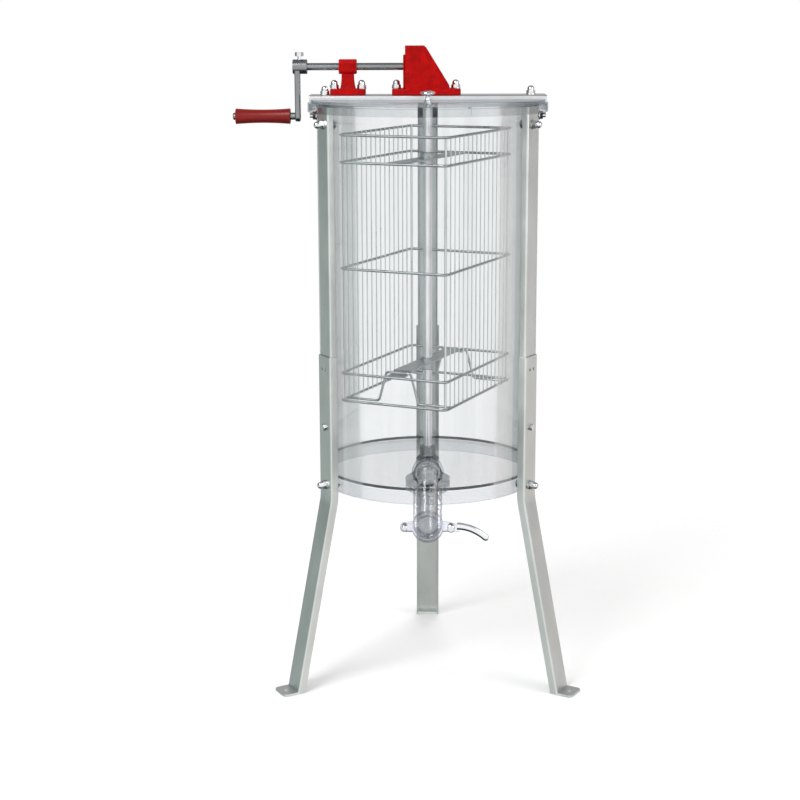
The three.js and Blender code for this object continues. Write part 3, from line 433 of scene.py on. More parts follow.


# The drum's wall gets painted shade below the floor plate.
acrylic("drum_clear", (0.972, 0.977, 0.980), (0.60, 0.65, 0.66), 0.45, 0.07, shade_below_floor=(0.880, 0.893, 0.905))
acrylic("floor_clear", (0.99, 0.99, 0.99), (0.90, 0.91, 0.91), 0.25, edge_on=(0.08, 0.085, 0.09))
acrylic("lid_clear", (0.93, 0.935, 0.945), (0.86, 0.87, 0.89), 0.45, 0.02, edge_on=(0.80, 0.82, 0.83))
acrylic("rim_clear", (0.90, 0.91, 0.915), (0.60, 0.64, 0.66), 0.35, 0.08)
acrylic("gate_clear", (0.975, 0.978, 0.988), (0.46, 0.50, 0.55), 0.6, 0.08, 3.2)
acrylic("slide_clear", (0.93, 0.935, 0.965), (0.46, 0.49, 0.56), 0.7, 0.12, 2.4)
acrylic("silicone", (0.93, 0.935, 0.935), (0.70, 0.72, 0.72), 0.15, 0.10)
steel("leg_steel", (0.66, 0.69, 0.67), 0.36, cloud=0.10)
steel("bright_steel", (0.70, 0.71, 0.72), 0.34, (0.02, 1, 1), cloud=0.05)
steel("fastener_steel", (0.74, 0.75, 0.76), 0.14, (1, 1, 1), 600, 0.06)
steel("chrome", (0.84, 0.87, 0.89), 0.07, (1, 1, 1), 300, 0.02, 0.00001)
steel("machined_steel", (0.28, 0.29, 0.295), 0.24, (0.02, 1, 1), 700, 0.12)
steel("pale_shaft_steel", (0.84, 0.85, 0.87), 0.20, (1, 1, 0.02), 700, 0.08)
steel("wire_steel", (0.50, 0.53, 0.54), 0.30, (1, 1, 0.2), 500, 0.12)
steel("pale_wire_steel", (0.80, 0.82, 0.83), 0.30, (1, 1, 0.1), 500, 0.12)
red_casting("red_casting", (0.47, 0.002, 0.002), 0.50, 0.9)
grip_plastic("red_grip", (0.24, 0.006, 0.004))
steel("brass", (0.70, 0.55, 0.28), 0.35, (1, 1, 1), 500, 0.08)


def dress(piece, body, finish, cad_node, name=None, sharp=32):
    """Names and shades a piece, gives it its material, and lets it ride on a body for a CAD node."""
    piece.name = name or cad_node + "_fine"
    piece.data.shade_smooth()
    piece.data.set_sharp_from_angle(angle=math.radians(sharp))
    weighted = piece.modifiers.new("weighted", "WEIGHTED_NORMAL")
    weighted.keep_sharp = True
    piece.data.materials.clear()
    piece.data.materials.append(MATERIALS[finish])
    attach(piece, body)
    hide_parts(cad_node)


# ---- fasteners ----

M8 = {"shank": 4 * MM, "hex": 7.5 * MM, "head": 5.3 * MM, "nut": 6.5 * MM, "dome": 8 * MM}
M6 = {"shank": 3 * MM, "hex": 5.77 * MM, "head": 4 * MM, "nut": 5 * MM, "dome": 0}
HEX_SEGMENTS = 48


def hexagon(radius, height, rise):
    """A hexagonal ring, its corners rounded off towards +rise or -rise by a 30 degree chamfer."""
    flat = radius * math.cos(math.pi / 6)

    def at(angle):
        reach = flat / math.cos(angle % (math.pi / 3) - math.pi / 6)
        return reach, height + rise * (reach - flat * 0.99) * math.tan(math.pi / 6)

    return at


def bolt(node_name, origin, direction, size, tail=0.0):
    """A hex bolt with a washer and a nut, domed if the size says so, filling its CAD node's length."""
    low, high = span(node_name, direction)
    base = origin.dot(direction)
    low, high = low - base, high - base
    nut_top = high - size["dome"] - tail
    nut_low = nut_top - size["nut"]
    head_top = low + size["head"]
    inner = size["hex"] * math.cos(math.pi / 6) * 0.98
    washer = 1.3 * MM
    rings = [
        (0, low),
        (inner * 0.9, low),
        hexagon(size["hex"], low, 1),
        hexagon(size["hex"], head_top, 0),
        (size["shank"], head_top),
        (size["shank"], nut_low),
        (size["hex"] * 1.08, nut_low),
        (size["hex"] * 1.08, nut_low + washer),
        hexagon(size["hex"], nut_low + washer, 0),
        hexagon(size["hex"], nut_top, -1),
    ]
    if size["dome"]:
        dome = inner * 0.92
        rings.append((dome, nut_top))
        straight = size["dome"] - dome * 0.95
        for step in range(7):
            turn = math.pi / 2 * step / 6
            rings.append((dome * math.cos(turn), nut_top + straight + dome * 0.95 * math.sin(turn)))
        rings[-1] = (0, high)
    else:
        rings += [(size["shank"], nut_top), (size["shank"], high - 0.5 * MM)]
        rings += [(size["shank"] * 0.8, high), (0, high)]
    made = revolve(rings, pointing(origin, direction), HEX_SEGMENTS)
    dress(made, "drum", "fastener_steel", node_name, sharp=24)


def fasteners():
    for name, azimuth in LEGS.items():
        for place in ("top", "low"):
            node_name = f"leg_{place}_bolt_{name}"
            origin = Vector((0, 0, middle(node_name).z))
            bolt(node_name, origin, outward(azimuth), M8)
        node_name = f"leg_middle_bolt_{name}"
        origin = Vector((0, 0, middle(node_name).z))
        bolt(node_name, origin, -outward(azimuth), M6, tail=1 * MM)
    for name, side in SIDES.items():
        origin = Vector((0, 0, middle(f"bracket_bolt_{name}").z))
        bolt(f"bracket_bolt_{name}", origin, Vector((side, 0, 0)), dict(M8, dome=0), tail=5 * MM)
        for place in ("beam", "pedestal", "housing"):
            node_name = f"{place}_bolt_{name}"
            spot = middle(node_name)
            bolt(node_name, Vector((spot.x, spot.y, 0)), UP, M8)


# ---- drum, floor, rim and lids ----

LEGS = {"left": -60, "right": 60, "rear": 180}
WALL = 4 * MM
HOLE = 4.4 * MM


def ring_profile(inner, outer, low, high, edge):
    return fillet(rectangle(inner, outer, low, high), edge, 2)


def bolt_holes(piece, low, high, *places):
    """Drills for the upright bolts of the places."""
    spots = [middle(f"{place}_bolt_{name}").x for place in places for name in SIDES]
    drill(piece, HOLE, *[through((x, 0, low), (x, 0, high)) for x in spots])


def drum_shell():
    low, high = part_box("drum_shell")
    radius = high.x
    made = revolve(ring_profile(radius - WALL, radius, low.z, high.z, 0.7 * MM), segments=192)
    inner, outer = radius - 3 * WALL, radius + 3 * WALL
    lines = []
    for name, azimuth in LEGS.items():
        for place in ("top", "low"):
            height = Vector((0, 0, middle(f"leg_{place}_bolt_{name}").z))
            lines.append((height + outward(azimuth) * inner, height + outward(azimuth) * outer))
    for name, side in SIDES.items():
        height = middle(f"bracket_bolt_{name}").z
        lines.append(((side * inner, 0, height), (side * outer, 0, height)))
    drill(made, HOLE, *lines)
    outlet = middle("outlet_gasket").z
    drill(made, OUTLET["stub"] + 0.4 * MM, ((0, -inner, outlet), (0, -outer, outlet)))
    dress(made, "drum", "drum_clear", "drum_shell")


def drum_floor():
    low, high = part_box("drum_floor")
    edge = 0.6 * MM
    radius = high.x
    profile = [(0, low.z), (radius - edge, low.z), (radius, low.z + edge)]
    profile += [(radius, high.z - edge), (radius - edge, high.z), (0, high.z)]
    dress(revolve(profile, segments=192), "drum", "floor_clear", "drum_floor")


RIM = {"outer": 200 * MM, "wall": 2 * MM, "flange": 3 * MM, "gap": 0.35 * MM, "segments": 6, "first": -40}


def rim():
    """Six clear segments, two for each CAD node, with a visible seam between neighbours."""
    low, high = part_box("rim_segment_1")
    outer = RIM["outer"]
    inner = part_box("drum_shell")[1].x + 0.3 * MM
    lip = outer - RIM["wall"]
    flange = high.z - RIM["flange"]
    corners = [(inner, flange), (lip, flange), (lip, low.z)]
    corners += [(outer, low.z), (outer, high.z), (inner, high.z)]
    outline = fillet(corners, [0.3 * MM, 0.8 * MM, 0.5 * MM, 0.5 * MM, 1.2 * MM, 0.3 * MM], 3)
    step = 360 / RIM["segments"]
    seam = math.degrees(RIM["gap"] / 2 / outer)
    for index in range(RIM["segments"]):
        first = RIM["first"] + index * step + seam
        rows = []
        for i in range(25):
            direction = outward(first + (step - 2 * seam) * i / 24)
            rows.append([direction * radius + UP * height for radius, height in outline])
        cad_node = f"rim_segment_{index // 2 + 1}"
        dress(skin(rows), "drum", "rim_clear", cad_node, f"rim_segment_fine_{index + 1}")


LID_RADIUS = 196.5 * MM
KNOB_HOLE = 2.9 * MM
LID_PEG = {"x": 168 * MM, "y": 54 * MM, "radius": 3 * MM, "depth": 10 * MM}


def lid(name, side):
    node_name = f"lid_{name}"
    low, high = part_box(node_name)
    straight = min(abs(low.y), abs(high.y))
    bottom = low.z + LID_PEG["depth"]
    start = math.asin(straight / LID_RADIUS)
    turns = [start + (math.pi - 2 * start) * i / 96 for i in range(97)]
    outline = [(LID_RADIUS * math.cos(turn), side * LID_RADIUS * math.sin(turn)) for turn in turns]
    made = soften(prism(outline, bottom, high.z), 0.6 * MM, 2)
    pegs = []
    for x in (-LID_PEG["x"], LID_PEG["x"]):
        y = side * LID_PEG["y"]
        pegs.append(rod((x, y, low.z), (x, y, bottom + 1 * MM), LID_PEG["radius"], chamfer=0.5 * MM))
    combine(made, "UNION", *pegs)
    y = middle(f"lid_knob_{name}").y
    drill(made, KNOB_HOLE, through((0, y, bottom), (0, y, high.z)))
    dress(made, f"{name}_lid", "lid_clear", node_name)


def lid_knob(name):
    node_name = f"lid_knob_{name}"
    low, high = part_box(node_name)
    centre = middle(node_name)
    cap, cap_height = (high.x - low.x) / 2, 4.6 * MM
    lid_low, lid_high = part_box(f"lid_{name}")
    under = lid_low.z + LID_PEG["depth"] - 0.3 * MM
    base = lid_high.z + 0.3 * MM
    profile = [(0, low.z), (4.6 * MM, low.z), (5 * MM, low.z + 0.5 * MM), (5 * MM, under)]
    profile += [(2.5 * MM, under), (2.5 * MM, base), (6 * MM, base), (6 * MM, base + 1 * MM)]
    waist = [(6 * MM, base + 1.4 * MM), (4 * MM, base + 4 * MM), (4 * MM, base + 9 * MM)]
    waist.append((cap * 0.92, high.z - 5.4 * MM))
    profile += [tuple(point) for point in fillet(waist, 3 * MM, 6, closed=False)]
    for step in range(9):
        turn = math.pi / 2 * step / 8
        profile.append((cap * math.cos(turn), high.z - cap_height + cap_height * math.sin(turn)))
    profile[-1] = (0, high.z)
    made = revolve(profile, Matrix.Translation((centre.x, centre.y, 0)), 64)
    dress(made, f"{name}_lid", "chrome", node_name)


# ---- legs ----

LEG = {"inner": 185.5 * MM, "bend": 3.4 * MM, "splay": math.radians(11.5)}
UPPER = {"half": 18 * MM, "outer": 196.8 * MM, "wall": 2 * MM}
LOWER = {"half": 20.9 * MM, "outer": 199.6 * MM, "wall": 2.5 * MM, "bend_height": -34.5 * MM}


def channel_outline(size):
    """A folded U channel, open towards the drum."""
    half, outer, wall = size["half"], size["outer"], size["wall"]
    inner, bend = LEG["inner"], LEG["bend"]
    corners = rectangle(inner, outer, -half, half)
    corners += [(inner, half - wall), (outer - wall, half - wall)]
    corners += [(outer - wall, wall - half), (inner, wall - half)]
    edge = 0.5 * MM
    return fillet(corners, [edge, bend, bend, edge, edge, bend - wall, bend - wall, edge], 5)


LEG_HOLES = {"top": HOLE, "low": HOLE, "middle": 3.4 * MM}


def leg_hole(azimuth, height, reach, sideways=0.0):
    """A line out through a leg, between the two distances of reach."""
    place = leg_frame(azimuth, height)
    return [place @ Vector((distance, sideways, 0)) for distance in reach]


def leg_bolt_holes(piece, name, azimuth, reach, *places):
    for place in places:
        line = leg_hole(azimuth, middle(f"leg_{place}_bolt_{name}").z, reach)
        drill(piece, LEG_HOLES[place], line)


def upper_leg(name, azimuth):
    low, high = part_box(f"upper_leg_{name}")
    stations = [leg_frame(azimuth, height) for height in (low.z, high.z)]
    made = loft(channel_outline(UPPER), stations)
    reach = (LEG["inner"] - 10 * MM, UPPER["outer"] + 10 * MM)
    leg_bolt_holes(made, name, azimuth, reach, "top", "low", "middle")
    dress(made, "drum", "leg_steel", f"upper_leg_{name}")


def lower_leg(name, azimuth):
    low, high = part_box(f"lower_leg_{name}")
    bend = LOWER["bend_height"]
    slope = math.tan(LEG["splay"])
    foot_shift = (bend - low.z) * slope
    ease = 9 * MM
    path = [(low.z, foot_shift), (bend - ease, ease * slope)]
    for i in range(1, 6):
        along = -ease + 2 * ease * i / 6
        path.append((bend + along, slope * (ease - along) ** 2 / (4 * ease)))
    path += [(bend + ease, 0), (high.z, 0)]
    stations = [leg_frame(azimuth, height, shift) for height, shift in path]
    made = loft(channel_outline(LOWER), stations)
    heel = LEG["inner"] + foot_shift + 1 * MM
    toe = LOWER["outer"] + foot_shift + 25 * MM
    half = LOWER["half"]
    corners = rectangle(heel, toe, -half + 0.2 * MM, half - 0.2 * MM)
    outline = fillet(corners, [0, 7 * MM, 7 * MM, 0], 8)
    foot = prism(outline, 0, 4 * MM, leg_frame(azimuth, low.z))
    combine(made, "UNION", soften(foot, 0.6 * MM, 2, 50))
    anchor = toe - 12.5 * MM
    place = leg_frame(azimuth, low.z)
    drill(made, 4.5 * MM, [place @ Vector((anchor, 0, height)) for height in (-2 * MM, 6 * MM)])
    reach = (LOWER["outer"] - 6 * MM, LOWER["outer"] + 10 * MM)
    leg_bolt_holes(made, name, azimuth, reach, "low", "middle")
    spare = [leg_hole(azimuth, high.z - 22 * MM, reach, side * 6.5 * MM) for side in (-1, 1)]
    drill(made, 2.6 * MM, *spare)
    dress(made, "drum", "leg_steel", f"lower_leg_{name}")


# ---- beam and brackets ----


def top_beam():
    low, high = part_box("top_beam")
    wall = 2 * MM
    corners = [(low.y, low.z), (low.y, high.z), (high.y, high.z), (high.y, low.z)]
    corners += [(high.y - wall, low.z), (high.y - wall, high.z - wall)]
    corners += [(low.y + wall, high.z - wall), (low.y + wall, low.z)]
    edge, bend = 0.4 * MM, 3 * MM
    outline = fillet(corners, [edge, bend, bend, edge, edge, bend - wall, bend - wall, edge], 5)
    made = along_x(outline, low.x, high.x)
    bolt_holes(made, low.z, high.z, "beam", "pedestal", "housing")
    drill(made, 12.4 * MM, through((0, 0, low.z), (0, 0, high.z)))
    dress(made, "drum", "bright_steel", "top_beam")


def beam_bracket(name, side):
    low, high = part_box(f"beam_bracket_{name}")
    outer, inner = (high.x, low.x) if side > 0 else (-low.x, -high.x)
    wall = 2 * MM
    corners = [(inner, high.z), (inner, high.z - wall), (outer - wall, high.z - wall)]
    corners += [(outer - wall, low.z), (outer, low.z), (outer, high.z)]
    edge = 0.3 * MM
    outline = fillet(corners, [edge, edge, 1 * MM, edge, edge, 1.9 * MM], 4)
    made = along_y([(side * x, z) for x, z in outline], low.y, high.y)
    wall_bolt = middle(f"bracket_bolt_{name}").z
    drill(made, HOLE, ((side * (outer - 6 * MM), 0, wall_bolt), (side * (outer + 4 * MM), 0, wall_bolt)))
    beam_bolt = middle(f"beam_bolt_{name}").x
    drill(made, HOLE, ((beam_bolt, 0, high.z - CLEAR), (beam_bolt, 0, high.z + CLEAR)))
    dress(made, "drum", "bright_steel", f"beam_bracket_{name}")


# ---- castings ----

CRANK_HEIGHT = 680 * MM
HOUSING = {"left": -37.3 * MM, "right": 36 * MM, "base": 9.7 * MM, "wall": 3.5 * MM}
HOUSING_OUTSIDE = {"toe": 14.5 * MM, "slope_top": (-2 * MM, 4 * MM), "top": (-6 * MM, 0)}
HOUSING_INSIDE = {"toe": 12.5 * MM, "slope_top": (-8.5 * MM, 7 * MM), "top": (-13 * MM, HOUSING["wall"])}
FLUTES = {"count": 5, "depth": 0.45 * MM}
BUSH_HOLES = {"plate": 9.4 * MM, "pedestal": 8.9 * MM}


def base_plate(low, high, top, corner):
    """The foot of a casting, over its whole CAD box."""
    outline = fillet(rectangle(low.x, high.x, low.y, high.y), corner, 8)
    return soften(prism(outline, low.z, top), 1.2 * MM, 3, 40)


def gear_housing():
    low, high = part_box("gear_housing")
    left, right, wall = HOUSING["left"], HOUSING["right"], HOUSING["wall"]
    base_top = low.z + HOUSING["base"]

    def side_view(slope, start, end, bottom):
        """The sloped outline, from a start to an end in X. Heights of the slope's top count down."""
        points = [(start, bottom), (end, bottom), (end, low.z + slope["toe"])]
        points += [(x, high.z - drop) for x, drop in (slope["slope_top"], slope["top"])]
        return points + [(start, points[-1][1])]

    plan = []
    steps = 60
    for side in (-1, 1):
        for i in range(steps + 1):
            share = i / steps if side < 0 else 1 - i / steps
            dip = FLUTES["depth"] * (0.5 + 0.5 * math.cos(2 * math.pi * FLUTES["count"] * share))
            plan.append((left + (right - left) * share, side * (high.y - 1.5 * MM - dip)))
    body = prism(plan, low.z + 1 * MM, high.z + CLEAR)
    outside = side_view(HOUSING_OUTSIDE, left - 1 * MM, right, low.z)
    profile = fillet(outside, [0, 0, 5 * MM, 2 * MM, 1.5 * MM, 0], 5)
    combine(body, "INTERSECT", along_y(profile, low.y - CLEAR, high.y + CLEAR))
    soften(body, 1.3 * MM, 3, 40)
    combine(body, "UNION", base_plate(low, high, base_top, 7 * MM))
    inside = side_view(HOUSING_INSIDE, left + wall, right - wall, low.z - CLEAR)
    half = high.y - 5 * MM
    combine(body, "DIFFERENCE", along_y(inside, -half, half))
    drill(body, BUSH_HOLES["plate"], ((left - CLEAR, 0, CRANK_HEIGHT), (left + 8 * MM, 0, CRANK_HEIGHT)))
    bolt_holes(body, low.z, base_top, "housing")
    dress(body, "drum", "red_casting", "gear_housing")


def bearing_plate():
    low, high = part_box("housing_bearing_plate")
    outline = fillet(rectangle(low.y, high.y, low.z, high.z), 4 * MM, 8)
    made = soften(along_x(outline, low.x, high.x), 0.6 * MM, 2, 40)
    drill(made, BUSH_HOLES["plate"], through((low.x, 0, CRANK_HEIGHT), (high.x, 0, CRANK_HEIGHT)))
    dress(made, "drum", "red_casting", "housing_bearing_plate")


def bearing_pedestal():
    low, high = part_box("bearing_pedestal")
    x = middle("bearing_pedestal").x
    half = 14.7 * MM
    base_top = low.z + 9.4 * MM
    block_low = CRANK_HEIGHT - 12 * MM
    outline = fillet(rectangle(-14 * MM, 14 * MM, block_low, high.z), 7 * MM, 8)
    made = soften(along_x(outline, x - half, x + half), 1.2 * MM, 3, 40)
    stations = []
    for i in range(13):
        share = i / 12
        height = base_top - 2 * MM + (block_low + 3 * MM - base_top + 2 * MM) * share
        flare = 1 + 0.34 * (1 - share) ** 3
        stations.append(Matrix.Translation((x, 0, height)) @ Matrix.Diagonal((flare, flare, 1, 1)))
    column = fillet(rectangle(-10.2 * MM, 10.2 * MM, -10 * MM, 10 * MM), 3 * MM, 5)
    combine(made, "UNION", loft(column, stations), base_plate(low, high, base_top, 6 * MM))
    drill(made, BUSH_HOLES["pedestal"], ((x - 20 * MM, 0, CRANK_HEIGHT), (x + 20 * MM, 0, CRANK_HEIGHT)))
    bolt_holes(made, low.z, base_top, "pedestal")
    dress(made, "drum", "red_casting", "bearing_pedestal", sharp=40)


def bush(node_name, radius, bore):
    low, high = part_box(node_name)
    profile = ring_profile(bore, radius, low.x, high.x, 0.5 * MM)
    axis = pointing((0, 0, CRANK_HEIGHT), (1, 0, 0))
    dress(revolve(profile, axis, 48), "drum", "brass", node_name)


def top_bush():
    low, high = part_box("shaft_top_bush")
    bore, radius, flange = 8.35 * MM, 12 * MM, high.x
    shoulder = low.z + 3.7 * MM
    corners = [(bore, low.z), (flange, low.z), (flange, shoulder)]
    corners += [(radius, shoulder), (radius, high.z), (bore, high.z)]
    made = revolve(fillet(corners, 0.4 * MM, 2), segments=48)
    dress(made, "drum", "brass", "shaft_top_bush")


# ---- crank ----

ARM = {"left": -221 * MM, "right": -212 * MM, "end": 9 * MM, "throw": 81 * MM}
GRIP_HEIGHT = CRANK_HEIGHT - ARM["throw"]


def turned_x(profile, height):
    """A solid of revolution about an X axis at a height, from (x, radius) points."""
    return revolve([(radius, x) for x, radius in profile], pointing((0, 0, height), (1, 0, 0)), 64)


def crank_shaft():
    low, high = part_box("crank_shaft")
    radius = 6 * MM
    edge = 0.8 * MM
    profile = [(low.x, 0), (low.x, radius - edge), (low.x + edge, radius)]
    profile += [(high.x - edge, radius), (high.x, radius - edge), (high.x, 0)]
    dress(turned_x(profile, CRANK_HEIGHT), "crank", "machined_steel", "crank_shaft")


def crank_arm():
    low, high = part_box("crank_arm")
    hub_radius = 12 * MM
    profile = [(low.x, 0), (low.x, hub_radius), (high.x, hub_radius), (high.x, 0)]
    hub = soften(turned_x(profile, CRANK_HEIGHT), 0.9 * MM, 3)
    steps = 24
    outline = []
    for i in range(steps + 1):
        turn = math.pi + math.pi * i / steps
        outline.append((ARM["end"] * math.cos(turn), GRIP_HEIGHT + ARM["end"] * math.sin(turn)))
    outline += [(ARM["end"] * 1.12, CRANK_HEIGHT), (-ARM["end"] * 1.12, CRANK_HEIGHT)]
    combine(hub, "UNION", soften(along_x(outline, ARM["left"], ARM["right"]), 2.2 * MM, 4))
    drill(hub, 6.3 * MM, through((low.x, 0, CRANK_HEIGHT), (high.x, 0, CRANK_HEIGHT)))
    drill(hub, 4.3 * MM, through((ARM["left"], 0, GRIP_HEIGHT), (ARM["right"], 0, GRIP_HEIGHT)))
    screw = middle("crank_set_screw").x
    drill(hub, 3.3 * MM, ((screw, 0, CRANK_HEIGHT), (screw, 0, CRANK_HEIGHT + 20 * MM)))
    dress(hub, "crank", "machined_steel", "crank_arm")


def set_screw():
    low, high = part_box("crank_set_screw")
    spot = middle("crank_set_screw")
    head = high.z - 6.7 * MM
    rings = [(0, low.z), (2.4 * MM, low.z), (3 * MM, low.z + 0.6 * MM), (3 * MM, head)]
    rings += [(5.6 * MM, head), hexagon(7.2 * MM, head, 1), hexagon(7.2 * MM, high.z, -1)]
    rings += [(5.6 * MM, high.z), (0, high.z)]
    made = revolve(rings, Matrix.Translation((spot.x, spot.y, 0)), HEX_SEGMENTS)
    dress(made, "crank", "fastener_steel", "crank_set_screw", sharp=24)


def grip_spindle():
    low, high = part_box("grip_spindle")
    grip_low, grip_high = (corner.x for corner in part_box("crank_grip"))
    cap, shoulder = grip_low - 0.3 * MM, grip_high + 0.3 * MM
    profile = [(low.x, 0), (low.x, 4.6 * MM), (low.x + 1.2 * MM, 6 * MM), (cap, 6 * MM), (cap, 4 * MM)]
    profile += [(shoulder, 4 * MM), (shoulder, 6 * MM), (ARM["left"] - 0.3 * MM, 6 * MM)]
    profile += [(ARM["left"] - 0.3 * MM, 4 * MM), (high.x, 4 * MM), (high.x, 0)]
    dress(turned_x(profile, GRIP_HEIGHT), "crank", "machined_steel", "grip_spindle")


def crank_grip():
    low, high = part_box("crank_grip")
    half, mid = (high.x - low.x) / 2, (high.x + low.x) / 2
    end, waist, bore = 12.9 * MM, 11 * MM, 4.35 * MM
    profile = [(low.x, bore), (low.x, end - 1.6 * MM), (low.x + 0.5 * MM, end - 0.5 * MM)]
    for i in range(33):
        share = -1 + 2 * i / 32
        reach = 0.982 * share * half
        profile.append((mid + reach, waist + (end - waist) * share * share))
    profile += [(high.x - 0.5 * MM, end - 0.5 * MM), (high.x, end - 1.6 * MM), (high.x, bore)]
    made = turned_x(profile, GRIP_HEIGHT)
    dress(made, "grip", "red_grip", "crank_grip")


# ---- basket ----

WIRE = 2.2 * MM
UPPER_RING = middle("cross_bar_upper").z
LOWER_RING = UPPER_RING - 350 * MM
MIDDLE_RING = UPPER_RING - 174 * MM


def basket_reach(node_name):
    """Half the length and half the depth of a node in the basket's own frame."""
    return span(node_name, BASKET_X)[1], span(node_name, BASKET_Y)[1]


def basket_rings():
    low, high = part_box("basket_cage")
    half_length, half_depth = (reach - WIRE for reach in basket_reach("basket_cage"))
    levels = {"bottom": low.z + WIRE, "lower": LOWER_RING, "middle": MIDDLE_RING}
    levels |= {"upper": UPPER_RING, "top": high.z - WIRE}
    loop = fillet(rectangle(-half_length, half_length, -half_depth, half_depth), 10 * MM, 10)
    for name, height in levels.items():
        path = [BASKET_FRAME @ Vector((x, y, height)) for x, y in loop]
        ring = sweep(path, circle(WIRE), UP, closed=True)
        dress(ring, "basket", "wire_steel", "basket_cage", f"basket_ring_{name}", 60)


def face_wires(name, side):
    """Upright wires of one long face: thin ones between two stouter ones near the corners."""
    low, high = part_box("basket_cage")
    half_length, half_depth = basket_reach("basket_cage")
    count, thin, stout = 16, 1 * MM, 2 * MM
    end = half_length - 2 * WIRE - 2 * stout
    points, faces = [], []
    for i in range(count):
        radius = stout if i in (0, count - 1) else thin
        x = -end + 2 * end * i / (count - 1)
        y = side * (half_depth - 2 * WIRE - radius)
        stations = [(0, low.z), (radius * 0.7, low.z), (radius, low.z + 0.4 * MM)]
        stations += [(radius, high.z - 0.4 * MM), (radius * 0.7, high.z), (0, high.z)]
        wire = revolve(stations, BASKET_FRAME @ Matrix.Translation((x, y, 0)), 12)
        offset = len(points)
        points += [vertex.co.copy() for vertex in wire.data.vertices]
        faces += [[offset + index for index in face.vertices] for face in wire.data.polygons]
        bpy.data.objects.remove(wire)
    made = new_object(points, faces)
    dress(made, "basket", "pale_wire_steel", "basket_cage", f"basket_wires_{name}", 60)


def cross_bar(node_name, joggle):
    """A flat strip with a hub on the shaft. The lower one's ends step down to the ring."""
    reach = basket_reach("cross_bar_upper")[0]
    height = LOWER_RING if joggle else UPPER_RING
    half, thickness = 15 * MM, 3 * MM
    line = [(-reach, 0), (-reach + 22 * MM, 0), (-reach + 34 * MM, joggle)]
    line += [(-x, z) for x, z in line[::-1]]
    smooth = fillet(line, 5 * MM, 5, closed=False) if joggle else [(-reach, 0), (reach, 0)]
    top = [(x, z + thickness / 2) for x, z in smooth]
    bottom = [(x, z - thickness / 2) for x, z in smooth[::-1]]
    rows = [[BASKET_FRAME @ Vector((x, y, height + z)) for x, z in top + bottom] for y in (-half, half)]
    made = soften(skin(rows), 0.6 * MM, 2, 50)
    hub = rod((0, 0, height - 10 * MM), (0, 0, height + 10 * MM), 13 * MM, 64, 1 * MM)
    combine(made, "UNION", hub)
    drill(made, 8.3 * MM, ((0, 0, height - 20 * MM), (0, 0, height + 20 * MM)))
    dress(made, "basket", "wire_steel", node_name)


def frame_rest(name, side):
    """A bent wire the frames stand on, humped over the lower cross bar."""
    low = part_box("cross_bar_lower")[0].z + WIRE
    high = LOWER_RING + 4.6 * MM
    end = basket_reach("basket_cage")[1] - 2 * WIRE - 2 * MM
    half = [(-end, low), (-36 * MM, low), (-22 * MM, high)]
    line = fillet(half + [(-y, z) for y, z in half[::-1]], 7 * MM, 7, closed=False)
    path = [BASKET_FRAME @ Vector((side * 118 * MM, y, z)) for y, z in line]
    made = sweep(path, circle(2 * MM), BASKET_X)
    dress(made, "basket", "wire_steel", "cross_bar_lower", f"frame_rest_{name}", 60)


def basket_shaft():
    low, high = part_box("basket_shaft")
    radius, neck = 8 * MM, 4.5 * MM
    shoulder = CRANK_HEIGHT - 40 * MM
    profile = [(0, low.z), (3.2 * MM, low.z), (radius, low.z + 4.5 * MM), (radius, shoulder - 0.5 * MM)]
    profile += [(radius - 0.5 * MM, shoulder), (neck, shoulder), (neck, high.z - 0.6 * MM)]
    profile += [(neck - 0.6 * MM, high.z), (0, high.z)]
    dress(revolve(profile, segments=48), "basket", "pale_shaft_steel", "basket_shaft")


def floor_bearing():
    low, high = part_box("floor_bearing")
    radius, bore, seat = high.x, 8.35 * MM, 12 * MM
    corners = [(radius, low.z), (radius, low.z + 5 * MM), (radius - 6 * MM, low.z + 11 * MM)]
    corners += [(radius - 6 * MM, high.z), (bore, high.z)]
    rounded = fillet(corners, [0.5 * MM, 1 * MM, 2 * MM, 1 * MM, 0.5 * MM], 4)
    profile = [(0, low.z), *rounded, (bore, seat), (0, seat)]
    dress(revolve(profile, segments=64), "drum", "machined_steel", "floor_bearing")


# ---- honey gate ----

OUTLET = {"stub": 20 * MM, "pipe": 23 * MM, "bore": 17 * MM, "mouth": 25 * MM, "lug": 37 * MM}
OUTLET_BENDS = {"upper": -204 * MM, "lower": -255 * MM}
COLLAR = {"radius": 38.5 * MM, "thickness": 8 * MM, "tilt": math.radians(40), "y": -213 * MM, "z": 27 * MM}
BOSS = 7 * MM  # radius and depth of the round ends of the gate's ears
SCREW_HOLE = 2.9 * MM


def outlet_run(radius, start, end):
    """A pipe out of the drum wall, down at a slant, and level again, with round joints."""
    z_in, z_out = middle("outlet_gasket").z, middle("gate_slide").z
    upper = (OUTLET_BENDS["upper"], z_in - 2 * MM)
    lower = (OUTLET_BENDS["lower"], z_out)
    points = [Vector((0, y, z)) for y, z in ((start, z_in), upper, lower, (end, z_out))]
    made = rod(points[0], points[1], radius, 64)
    others = [rod(a, b, radius, 64) for a, b in zip(points[1:], points[2:])]
    others += [ball(point, radius) for point in points[1:3]]
    return combine(made, "UNION", *others)


def ball(centre, radius):
    turns = [math.pi * i / 32 for i in range(33)]
    profile = [(radius * math.sin(turn), -radius * math.cos(turn)) for turn in turns]
    profile[0], profile[-1] = (0, -radius), (0, radius)
    return revolve(profile, Matrix.Translation(centre))


